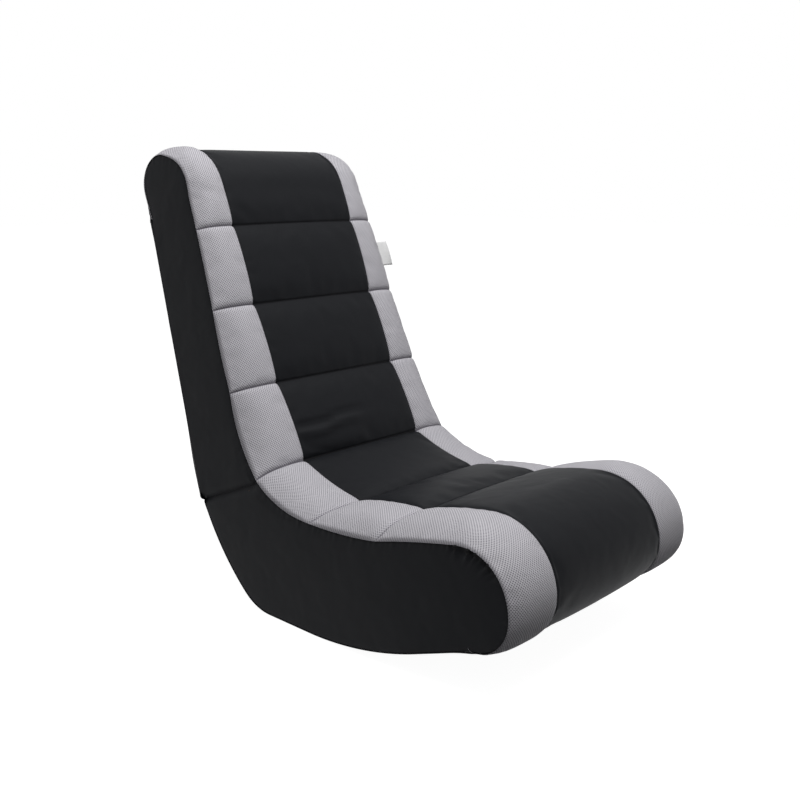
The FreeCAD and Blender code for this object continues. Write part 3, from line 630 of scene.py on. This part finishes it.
def coated_fabric(name, settings):
    """PU-coated leathercloth, calendered with a fine embossed grain: satin black, with a
    broad soft highlight and a slightly uneven gloss where it is stretched."""
    material, tree, shader = new_material(name)
    place = object_space(tree)
    # Grain cells of the embossing are about 1.2 mm across
    grain = add_node(tree, "ShaderNodeTexVoronoi", {"Vector": place, "Scale": 820.0,
                                                    "Randomness": 0.9},
                     feature="SMOOTH_F1").outputs["Distance"]
    # Slow changes of gloss, about 60 mm across, where the cloth is pulled tight
    cloud = noise(tree, place, 16.0, 3.0)
    # The cloth isn't flat on its foam: soft dents about 30 mm apart, under a millimetre deep
    dents = relief(tree, noise(tree, place, 30.0, 1.0, 0.3), 0.5, 0.0022)
    black = colour_mix(tree, cloud, "#141518", "#1A1B1E")
    gloss = settings.coated_gloss
    return surfaced(material, shader, {
        # Darker at the seam mark: the seam thread's own black, and painted shade in the seams and the side panels'
        # gathers
        "Base Color": colour_mix(tree, seam_thread_and_painted_shade(tree), black, "#08080A"),
        "Roughness": spread(tree, cloud, gloss - 0.04, gloss + 0.05),
        "Normal": relief(tree, grain, 0.35, 0.0002, Normal=dents),
        "Specular IOR Level": 0.085})


def lattice_gap(tree, cloth, pitch, offset):
    """Distance from the nearest point of a square lattice, in lattice steps."""
    source = cloth
    scale = (1 / pitch, 1 / (pitch * 1.15), 0.0)
    for operation, values in (("MULTIPLY_ADD", {1: scale, 2: (offset, offset, 0.0)}),
                              ("FRACTION", {}), ("SUBTRACT", {1: (0.5, 0.5, 0.0)}),
                              ("LENGTH", {})):
        made = add_node(tree, "ShaderNodeVectorMath", {0: source, **values},
                        operation=operation)
        source = made.outputs[0]
    return made.outputs["Value"]


def spacer_mesh(name, settings):
    """Warp-knitted polyester spacer mesh: light grey threads round rows of small open
    eyelets that show the dark inner layer, matt with a faint sheen from the threads."""
    material, tree, shader = new_material(name)
    cloth = add_node(tree, "ShaderNodeUVMap", uv_map="cloth").outputs["UV"]
    gaps = [lattice_gap(tree, cloth, settings.mesh_pitch, offset) for offset in (0.0, 0.5)]
    # An eyelet is about four tenths of the pitch across
    eyelet = add_node(tree, "ShaderNodeMapRange", {"Value": maths(tree, "MINIMUM", *gaps),
                                                   "From Min": 0.15, "From Max": 0.28},
                      interpolation_type="SMOOTHSTEP").outputs["Result"]
    thread = colour_mix(tree, noise(tree, cloth, 30.0, 2.0), "#C3C1C6", "#D0CED3")
    knit = colour_mix(tree, eyelet, "#7A7781", thread)
    return surfaced(material, shader, {
        # Darker at the seam mark: the dark purple-grey seam thread, and painted shade where the cloth is drawn in
        "Base Color": colour_mix(tree, seam_thread_and_painted_shade(tree), knit, "#4E4A54"),
        "Normal": relief(tree, eyelet, 0.5, 0.0006), "Roughness": 0.85,
        "Specular IOR Level": 0.25, "Sheen Weight": 0.15, "Sheen Roughness": 0.5})


def woven(name, dark, light, threads):
    """A plain-woven polyester cloth, with its thread spacing in metres."""
    material, tree, shader = new_material(name)
    place = object_space(tree)
    weft, warp = [add_node(tree, "ShaderNodeTexWave", {"Vector": place, "Distortion": 0.6,
                                                       "Scale": 0.314 / threads},
                           bands_direction=way).outputs["Fac"] for way in ("X", "DIAGONAL")]
    both = maths(tree, "MULTIPLY", weft, warp)
    return surfaced(material, shader, {
        "Base Color": colour_mix(tree, both, dark, light),
        "Normal": relief(tree, both, 0.4, 0.0003), "Roughness": 0.9})


def pressed_fibre():
    """Hardboard: wet-pressed wood fibres, mid brown with short darker strands."""
    material, tree, shader = new_material("hardboard_pressed")
    # Strands are about 3 mm long
    strands = noise(tree, object_space(tree), 330.0, 4.0, 1.5)
    return surfaced(material, shader, {
        "Base Color": colour_mix(tree, strands, "#6B4A30", "#80593A"),
        "Normal": relief(tree, strands, 0.15, 0.0002), "Roughness": 0.6})


def birch_plywood():
    """Rotary-cut plywood, sawn and left raw: pale veneer with long soft grain."""
    material, tree, shader = new_material("birch_plywood_sawn")
    # Growth bands some 12 mm apart, drawn out along the chair's height
    bands = noise(tree, object_space(tree, (1.0, 1.0, 0.12)), 80.0, 6.0, 0.8)
    return surfaced(material, shader, {
        "Base Color": colour_mix(tree, bands, "#C9A877", "#E3CDA4"),
        "Normal": relief(tree, bands, 0.2, 0.0004), "Roughness": 0.7})


def zinc_steel(name, hex_colour, roughness):
    """Zinc-plated steel, stamped or turned: cool grey metal with fine rubbed streaks."""
    material, tree, shader = new_material(name)
    rubbed = noise(tree, object_space(tree, (6.0, 1.0, 1.0)), 400.0, 3.0)
    return surfaced(material, shader, {
        "Roughness": spread(tree, rubbed, roughness - 0.06, roughness + 0.08),
        "Normal": relief(tree, rubbed, 0.1, 0.0001), "Base Color": hex_colour,
        "Metallic": 1.0})


def setting(name, description, default, low, high, **more):
    return bpy.props.FloatProperty(name=name, description=description, default=default,
                                   min=low, max=high, **more)


def length(name, description, default, high, low=0.0):
    return setting(name, description, default, low, high, unit="LENGTH")


class RockerCover(bpy.types.PropertyGroup):
    cell: length("Cell", "Size of a cover's mesh cells", 0.0065, 0.02, 0.003)
    seam_depth: length("Cross seam depth", "How far a cross seam pulls the padding in",
                       0.0036, 0.008)
    edge_depth: length("Long seam depth", "How far the seams beside the stripes lie in",
                       0.0009, 0.006)
    panel_crown: length("Side panel crown", "How far a side panel stands out", 0.0012, 0.01)
    swell: length("Swell", "How far a cover may be pushed out between its seams",
                  0.0022, 0.01)
    gather_height: length("Gather height", "Height of the gathers round the front roll",
                          0.0075, 0.008)


class RockerFinish(bpy.types.PropertyGroup):
    coated_gloss: setting("Coated fabric roughness", "Roughness of the black coated fabric",
                          0.56, 0.1, 0.9, subtype="FACTOR")
    mesh_pitch: length("Mesh pitch", "Distance between the eyelets of the spacer mesh",
                       0.0038, 0.01, 0.002)


class RockerStudio(bpy.types.PropertyGroup):
    lens: setting("Lens", "Focal length on a 36 mm sensor", 45.08, 20.0, 120.0, unit="CAMERA")
    key_power: setting("Overhead power", "Power of the softbox above the seat",
                       26.5, 0.0, 500.0, unit="POWER")
    room_light: setting("Room light", "Strength of the white room's scattered light",
                        0.24, 0.0, 2.0)


def keep_material(name, make, *values):
    """The named material, made once."""
    return bpy.data.materials.get(name) or make(name, *values)


def black_cover(context):
    return keep_material("pu_leathercloth_embossed", coated_fabric, context.scene.rocker_finish)


def grey_cover(context):
    return keep_material("polyester_spacer_mesh_knitted", spacer_mesh,
                         context.scene.rocker_finish)


def bend_at_fold(made):
    """Bakes the piece's transform into its mesh."""
    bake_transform(made)


def fold_crease(across, places, marks):
    """The soft slack fold in the centre strip, a hand's width above the fold seam."""
    above = marks[AT_FOLD] - places - CREASE_PLACE - 0.06 * (across + HALF_CENTRE)
    reach = 1.0 / (1.0 + math.exp((across + 5.0) / 18.0))
    reach *= 1.0 - math.exp(-(across + HALF_CENTRE) / 9.0)
    above = above + 2.5 * np.sin(across / 17.0)
    ridge = CREASE_RIDGE * fall(above + 9.0, 6.5, 2)
    return reach * (ridge - CREASE_VALLEY * fall(above, 4.5, 2))


def centre_stations():
    """Across the centre strip: place, side drop, share of the swell, gap to its edge."""
    return [(x, 0.0, 1 - abs(x / HALF_CENTRE) ** 2.4, HALF_CENTRE - abs(x))
            for x in spaced(CENTRE_WIDTH, 9.0) - HALF_CENTRE]


def stripe_stations(side):
    """The same across a stripe, where a place is a share of its width."""
    width = SEAT_WIDTH / 2 - HALF_CENTRE
    stations = []
    for gap in spaced(width, 7.0):
        share = gap / width
        drop = 1 - math.sqrt(max(0.0, 1 - share ** 2.2))
        lift = 1 - (2 * min(share / 0.92, 1.0) - 1) ** 4
        stations.append((side * share, drop, lift, min(gap, width - gap)))
    return stations


class ROCKER_OT_centre_strip(bpy.types.Operator):
    """Sew the black centre strip, from behind the head to under the front roll"""
    bl_idname = "rocker.centre_strip"
    bl_label = "Centre strip"

    def execute(self, context):
        made = sewn_front("centre_strip", centre_stations(), CENTRE_SWELL,
                          context.scene.rocker_cover, crease=fold_crease)
        dress(made, black_cover(context))
        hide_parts("seat_centre_cover", "back_centre_cover", "seat_fold_centre_cover",
                    "back_fold_centre_cover", "seat_foam", "back_foam", "seat_fold_foam",
                    "back_fold_foam")
        bend_at_fold(made)
        return {"FINISHED"}


class ROCKER_OT_mesh_stripes(bpy.types.Operator):
    """Sew the two grey mesh stripes beside the centre strip"""
    bl_idname = "rocker.mesh_stripes"
    bl_label = "Mesh stripes"

    def execute(self, context):
        for hand, side, swells in (("left", -1, LEFT_SWELL), ("right", 1, RIGHT_SWELL)):
            made = sewn_front("mesh_stripe_" + hand, stripe_stations(side), swells,
                              context.scene.rocker_cover, side)
            dress(made, grey_cover(context))
            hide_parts("seat_mesh_" + hand, "back_mesh_" + hand,
                        "seat_fold_mesh_" + hand, "back_fold_mesh_" + hand)
            bend_at_fold(made)
        return {"FINISHED"}


def polyline(points, crowns):
    """Arcs from point to point, each with its crown, as one line."""
    parts = [arc(a, b, crown, 3.0) for a, b, crown in zip(points, points[1:], crowns)]
    return np.concatenate(parts + [np.array([points[-1]])])


def side_seam(first, last):
    """The side seam between two points of the front, as a fine line."""
    at, even, marks = whole_line(1.0)
    inside = (at > marks[first] + 0.3) & (at < marks[last] - 0.3)
    ends = points_at(even, at, marks[[first, last]])
    return np.concatenate([ends[:1], even[inside], ends[1:]])


def gap_to(points, line):
    """Distance from each point to a line, and how far along the line its nearest is."""
    shape = points.shape[:-1]
    flat = points.reshape(-1, 1, 2)
    a, b = line[:-1][None], line[1:][None]
    ahead = b - a
    size = np.sqrt(np.maximum((ahead ** 2).sum(-1), 1e-9))
    t = np.clip(((flat - a) * ahead).sum(-1) / size ** 2, 0, 1)
    gaps = np.linalg.norm(flat - a - ahead * t[..., None], axis=-1)
    nearest = gaps.argmin(1)[:, None]
    along_line = line_length(line)[:-1][None] + t * size
    gap = np.take_along_axis(gaps, nearest, 1).reshape(shape)
    return gap, np.take_along_axis(along_line, nearest, 1).reshape(shape)


def lens_grid(low, high, columns, rows):
    """Rows of points between two lines that share their ends."""
    t = np.concatenate([[0, 0.006, 0.015, 0.03, 0.05, 0.08], np.linspace(0.12, 0.88, rows),
                        [0.92, 0.95, 0.97, 0.985, 0.994, 1]])
    s = np.linspace(0, 1, columns)
    a, b = resample(low, s), resample(high, s)
    return a[None] + (b - a)[None] * t[:, None, None]


def side_panel(name, low, high, seams, slot, settings, columns, rows=14, under=0.0):
    """A side panel between two lines, tucked in at its seams and rounded at the slot."""
    grid = lens_grid(low, high, columns, rows)
    seam_gap, _ = gap_to(grid, seams)
    slot_gap, _ = gap_to(grid, slot)
    front_gap, along_front = gap_to(grid, side_seam(0, len(FRONT) - 1))
    crown = settings.panel_crown / MM
    out = crown * (1 - fall(np.minimum(seam_gap, slot_gap), 22.0))
    out -= SIDE_TUCK * fall(seam_gap, 2.0)
    out -= SLOT_TUCK * fall(slot_gap, SLOT_REACH, 1.4)
    out += SLOT_BULGE * fall(slot_gap - 20.0, 9.0, 2)
    # Gathers where the seam turns down round the front roll, and a trace of them elsewhere
    shoulder = whole_line(1.0)[2][AT_ROLL_1] + GATHER_PLACE
    window = fall(along_front - shoulder, GATHER_REACH, 4) + 0.08
    gathers = np.maximum(1.7 * ripple(along_front, GATHER_PITCH, 0.9), -0.5)
    gathers *= (1 - 0.7 * fall(front_gap, 1.5)) * fall(front_gap, 9.0, 1.5)
    out += window * settings.gather_height / MM * gathers
    out -= GATHER_VALLEY * window * fall(front_gap - 7.0, 3.5, 2)
    slack = ripple(grid[..., 0] * 0.6 + grid[..., 1], SLACK_PITCH, 2.2)
    out += 0.5 * slack * (1 - fall(seam_gap, 30.0))
    # Painted shade: the cloth between the gathers is darkened as if shaded, and the thin line at the seam is
    # partly its dark seam, partly painted shade
    painted_fold_shade = np.clip(0.7 * fall(front_gap, 2.0, 2) + window * fall(front_gap, 8.0, 4), 0, 1)
    made = []
    for hand, side in (("left", -1), ("right", 1)):
        x = side * (half_width(grid[..., 0], grid[..., 1]) - 0.6 - under + out)
        points = placed(x, grid)
        made.append((hand, grid_object(name + "_" + hand, points, points[..., 1:],
                                       (side, 0.0, 0.0), painted_fold_shade)))
    return made


class ROCKER_OT_side_panels(bpy.types.Operator):
    """Cover the sides of the base and of the backrest, with gussets at the fold"""
    bl_idname = "rocker.side_panels"
    bl_label = "Side panels"

    def execute(self, context):
        settings = context.scene.rocker_cover
        seam_3, fold = side_seam(AT_SEAM_3, AT_FOLD)[[0, -1]]
        seam_5 = side_seam(AT_FOLD, AT_SEAM_5)[-1]
        last = len(FRONT) - 1
        seat_tip, back_tip = slot_point(1.0, -HALF_GAP), slot_point(1.0, HALF_GAP)

        # The base, below a seam that hangs from the fifth cross seam to the slot's tip
        gusset_line = np.concatenate([arc(seam_5, seat_tip, GUSSET_DEPTH, 3.0), [seat_tip]])
        floor = polyline(*rocker(ROLL_3[0]))
        base_seam = side_seam(AT_SEAM_5, last)
        base_high = np.concatenate([base_seam[::-1], gusset_line[1:],
                                    polyline([seat_tip, SEAT_END], [0.0])[1:]])
        base_edge = np.concatenate([side_seam(AT_FOLD, last), floor])
        slot_full = np.array([fold, seat_tip, SEAT_END])
        panels = side_panel("base_side_panel", np.concatenate([base_seam[-1:], floor]),
                            base_high, base_edge, slot_full, settings, 440)

        # The backrest, behind a seam from the third cross seam to the slot's tip
        back_seam = side_seam(0, AT_FOLD)
        rear = polyline([back_tip, BACK_END, HEAD_4], [0.0, 0.0])
        front = np.concatenate([[back_tip], side_seam(0, AT_SEAM_3)[::-1]])
        slot_back = np.array([fold, back_tip, BACK_END])
        backs = side_panel("back_side_panel", rear, front, back_seam, slot_back, settings, 240)

        # Gussets between both and the fold, a little under the panels that they meet
        low_gusset = np.concatenate([arc(seam_5, seat_tip, GUSSET_DEPTH + 2.0, 3.0),
                                     [seat_tip, fold]])
        seats = side_panel("seat_fold_gusset_cover", low_gusset,
                           side_seam(AT_FOLD, AT_SEAM_5)[::-1], base_edge, slot_full,
                           settings, 60, 8, 0.2)
        upper = step(towards(seam_3, back_tip, 12.0), (2.0, 0.0))
        lower = step(towards(back_tip, seam_3, 6.0), (2.0, 0.0))
        back_gusset = np.array([seam_3, upper, lower, back_tip, fold])
        tops = side_panel("back_fold_gusset_cover", back_gusset, side_seam(AT_SEAM_3, AT_FOLD),
                          back_seam, slot_back, settings, 60, 8, 0.2)
        material = black_cover(context)
        for group, half, body in ((panels, "base", "base"), (backs, "back", "backrest")):
            for hand, panel in group:
                dress(panel, material)
                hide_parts(half + "_side_cover_" + hand, half + "_side_padding_" + hand)
                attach(panel, body)
        for group, node in ((seats, "seat_fold_gusset_"), (tops, "back_fold_gusset_")):
            for hand, panel in group:
                dress(panel, material)
                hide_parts(node + hand)
                bend_at_fold(panel)
        return {"FINISHED"}


class ROCKER_OT_rear_panel(bpy.types.Operator):
    """Pad the rear of the backrest with its proud panel"""
    bl_idname = "rocker.rear_panel"
    bl_label = "Rear panel"

    def execute(self, context):
        foot, top = rear_foot(0, HALF_GAP), rear_point(0, PANEL_TOP[1])
        low = towards(foot, top, 9.0)
        rise = np.concatenate([arc(BACK_END, low, 2.5, 1.0), arc(low, top, 0.0, 12.0),
                               arc(top, HEAD_4, 0.8, 0.8), [HEAD_4]])
        inward = left_normals(rise)
        half = half_back(rise[:, 1])
        span = line_length(rise)
        # It is fullest a little above its foot and just below its top
        bulge = 4.2 * fall(span - 62.0, 45.0, 2)
        bulge += 2.2 * fall(span[-1] - span - 12.0, 20.0, 2)
        columns = []
        for share in spaced(200.0, 12.0) / 100.0 - 1.0:
            x = share * (half + 0.4)
            edge = (1 - abs(share)) * half
            depth = (REAR_PANEL + 1.0 + bulge) * fall(edge, 1.6, 1.2)
            depth = depth - bulge - 1.2 * (1 - fall(edge, 30.0))
            puff = ripple(span + 0.2 * x, 130.0, 1.0) * (1 - fall(edge, 25.0))
            fade = 1 - fall(np.minimum(span, span[-1] - span), 12.0)
            columns.append((x, rise + inward * (depth - 0.5 * puff * fade)[:, None]))
        made = draped("rear_panel_pad", columns, span, (0.0, 1.0, -0.3))
        dress(made, black_cover(context))
        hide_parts("back_rear_panel")
        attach(made, "backrest")
        return {"FINISHED"}


class ROCKER_OT_underside(bpy.types.Operator):
    """Stretch the cloth over the rocker's underside and rear"""
    bl_idname = "rocker.underside"
    bl_label = "Underside"

    def execute(self, context):
        line = resample(polyline(*rocker(ROLL_3[0])), np.linspace(0, 1, 150))
        inward = left_normals(line)
        span = line_length(line)
        columns = []
        for x in spaced(SEAT_WIDTH, 14.0) - SEAT_WIDTH / 2:
            edge = SEAT_WIDTH / 2 - abs(x)
            depth = 1.6 * math.exp(-edge / 1.4) + 4.0 * fall(span[-1] - span, 2.5)
            depth = depth + 2.0 * fall(span, 3.0)
            columns.append((np.full(len(line), x), line + inward * depth[:, None]))
        made = draped("underside_cloth", columns, span, (0.0, 0.0, -1.0))
        dress(made, black_cover(context))
        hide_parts("underside_cover", "base_rear_cover")
        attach(made, "base")
        return {"FINISHED"}


def lining(name, above, end, body, node):
    """Cloth on one face of the slot, with openings round the hinge leaves."""
    start = 2.0
    reach = math.dist(slot_point(0, above), end) - 4.0
    edges = [start, 4.5, LEAF_REACH + 0.5]
    spans = np.concatenate([edges, np.linspace(LEAF_REACH + 12, reach - 1.0, 14)])
    half = SEAT_WIDTH / 2 - LINING_INSET
    hinge = HINGE_SPREAD / 2
    inner, outer = hinge - HINGE_LENGTH / 2 - 0.5, hinge + HINGE_LENGTH / 2 + 0.5
    rights = np.concatenate([np.linspace(0, inner, 8), np.linspace(inner, outer, 6)[1:],
                             np.linspace(outer, half, 6)[1:]])
    across = np.concatenate([-rights[:0:-1], rights])
    points = [tuple(placed(x, np.array(slot_point(s, above)))) for s in spans for x in across]
    wide = len(across)
    middles = np.abs(across[:-1] + across[1:]) / 2
    corners = [r * wide + c for r in range(len(spans) - 1) for c in range(wide - 1)
               if spans[r + 1] > LEAF_REACH + 0.5 or not inner < middles[c] < outer]
    faces = [(a, a + 1, a + wide + 1, a + wide) for a in corners]
    mesh = bpy.data.meshes.new(name)
    mesh.from_pydata(points, [], faces)
    made = linked(name, mesh)
    thicken(made, 0.8)
    cloth = keep_material("lining_cloth_plain_woven", woven, "#08080A", "#121214", 0.0012)
    dress(made, cloth)
    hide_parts(node)
    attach(made, body)


class ROCKER_OT_slot_linings(bpy.types.Operator):
    """Line both faces of the fold slot with thin cloth"""
    bl_idname = "rocker.slot_linings"
    bl_label = "Slot linings"

    def execute(self, context):
        above = HALF_GAP + 0.5
        lining("lower_slot_lining", -above, SEAT_END, "base", "base_slot_lining")
        lining("upper_slot_lining", above, BACK_END, "backrest", "back_slot_lining")
        return {"FINISHED"}


class ROCKER_OT_label(bpy.types.Operator):
    """Sew the blank label into the backrest's side seam"""
    bl_idname = "rocker.label"
    bl_label = "Label"

    def execute(self, context):
        low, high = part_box("side_tag")
        above, below = control_points(1.0)[AT_SEAM_1:AT_SEAM_1 + 2]
        start, end = [np.array(towards(above, below, reach))
                      for reach in (LABEL_TOP, LABEL_END)]
        width = (high.x - low.x) / MM + 0.6
        t, s = np.meshgrid(np.linspace(0, 1, 16), np.linspace(0, 1, 12), indexing="ij")
        base = start + (end - start) * t[..., None]
        curl = 2.4 * s * s * np.sin(math.pi * (0.15 + 0.9 * t))
        x = half_back(base[..., 1]) - 1.0 + width * (s - 0.03 * curl * s)
        points = placed(x, base + np.stack([-0.4 - 1.6 * curl, 0.5 * curl], -1))
        made = grid_object("blank_label", points, points[..., [0, 2]], (0.0, -1.0, 0.0))
        thicken(made, 0.7)
        cloth = keep_material("label_satin_woven", woven, "#E4E4E4", "#F4F4F4", 0.0006)
        dress(made, cloth)
        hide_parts("side_tag")
        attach(made, "backrest")
        return {"FINISHED"}


class ROCKER_OT_frame_finish(bpy.types.Operator):
    """Finish the plywood frame, the decks, the hinges and the screws"""
    bl_idname = "rocker.frame_finish"
    bl_label = "Frame and hinges"

    def execute(self, context):
        finishes = {"plywood": birch_plywood(), "hardboard": pressed_fibre(),
                    "plated_steel": zinc_steel("zinc_plated_steel_stamped", "#B9BBBD", 0.34),
                    "screw_steel": zinc_steel("zinc_plated_steel_turned", "#A7A9AB", 0.28)}
        for part in frame["record"]["subparts"]:
            material = finishes.get(part["material_slot"])
            if material:
                node = frame["nodes"][part["node"]]
                node.data.materials.clear()
                node.data.materials.append(material)
        return {"FINISHED"}


def clear_view(tree):
    """1 for what is seen straight, in a mirror or through glass, and 0 for scattered light."""
    path = add_node(tree, "ShaderNodeLightPath").outputs
    straight = maths(tree, "MAXIMUM", path["Is Camera Ray"], path["Is Glossy Ray"])
    return maths(tree, "MAXIMUM", straight, path["Is Transmission Ray"])


def softbox(name, place, target, size, power):
    """A rectangular lamp that points at a target."""
    light = bpy.data.lights.new(name, "AREA")
    light.shape = "RECTANGLE"
    light.size, light.size_y = size
    light.energy = power
    made = linked(name, light)
    made.location = place
    way = Vector(target) - made.location
    made.rotation_euler = way.to_track_quat("-Z", "Y").to_euler()


class ROCKER_OT_studio(bpy.types.Operator):
    """Set the camera, the lamp and the white floor"""
    bl_idname = "rocker.studio"
    bl_label = "Studio"

    def execute(self, context):
        studio = context.scene.rocker_studio
        camera = bpy.data.cameras.new("camera")
        camera.lens = studio.lens
        camera.sensor_width = 36.0
        camera.clip_end = 50.0
        holder = linked("camera", camera)
        x, y, z = CAMERA_PLACE
        holder.location = (x, y + SHIFT_Y * MM, z)
        holder.rotation_euler = (math.radians(90 - CAMERA_DIP), 0.0, math.radians(CAMERA_TURN))
        context.scene.camera = holder

        world = bpy.data.worlds.new("white_room")
        context.scene.world = world
        world.use_nodes = True
        tree = world.node_tree
        tree.nodes.clear()
        strength = spread(tree, clear_view(tree), studio.room_light, 1.0)
        room = add_node(tree, "ShaderNodeBackground", {"Color": "#FFFFFF",
                                                       "Strength": strength})
        add_node(tree, "ShaderNodeOutputWorld", {"Surface": room.outputs["Background"]})

        mesh = bpy.data.meshes.new("studio_floor")
        corners = [(x * FLOOR_REACH, y * FLOOR_REACH, 0)
                   for x, y in ((-1, -1), (1, -1), (1, 1), (-1, 1))]
        mesh.from_pydata(corners, [], [(0, 1, 2, 3)])
        floor = linked("studio_floor", mesh)
        # White where it is looked at, and dark for the light that it throws on the chair
        material, tree, shader = new_material("white_paper_matt")
        seen = clear_view(tree)
        mesh.materials.append(surfaced(material, shader, {
            "Base Color": colour_mix(tree, seen, "#3A3A3A", "#B4B4B4"), "Roughness": 1.0,
            "Emission Strength": maths(tree, "MULTIPLY", seen, FLOOR_GLOW),
            "Emission Color": "#FFFFFF", "Specular IOR Level": 0.0}))

        softbox("overhead", LAMP_PLACE, LAMP_AIM, LAMP_SIZE, studio.key_power)
        context.scene.view_settings.view_transform = "Standard"
        return {"FINISHED"}


PIECES = (ROCKER_OT_centre_strip, ROCKER_OT_mesh_stripes, ROCKER_OT_side_panels,
          ROCKER_OT_rear_panel, ROCKER_OT_underside, ROCKER_OT_slot_linings,
          ROCKER_OT_label, ROCKER_OT_frame_finish, ROCKER_OT_studio)


GROUPS = (("rocker_cover", RockerCover), ("rocker_finish", RockerFinish),
          ("rocker_studio", RockerStudio))


class ROCKER_PT_panel(bpy.types.Panel):
    """Lists the chair's pieces and their sizes"""
    bl_idname = "ROCKER_PT_panel"
    bl_label = "Rocker chair"
    bl_space_type = "VIEW_3D"
    bl_region_type = "UI"
    bl_category = "Rocker chair"

    def draw(self, context):
        layout = self.layout
        for group, kind in GROUPS:
            for name in kind.__annotations__:
                layout.prop(getattr(context.scene, group), name)
        for piece in PIECES:
            layout.operator(piece.bl_idname)


def register():
    for name, group in GROUPS:
        bpy.utils.register_class(group)
        setattr(bpy.types.Scene, name, bpy.props.PointerProperty(type=group))
    for piece in PIECES + (ROCKER_PT_panel,):
        bpy.utils.register_class(piece)


def unregister():
    for piece in (ROCKER_PT_panel,) + PIECES[::-1]:
        bpy.utils.unregister_class(piece)
    for name, group in GROUPS[::-1]:
        delattr(bpy.types.Scene, name)
        bpy.utils.unregister_class(group)


def main():
    register()
    for piece in PIECES:
        name = piece.bl_idname.split(".")[1]
        getattr(bpy.ops.rocker, name)()


if __name__ == "__main__":
    main()
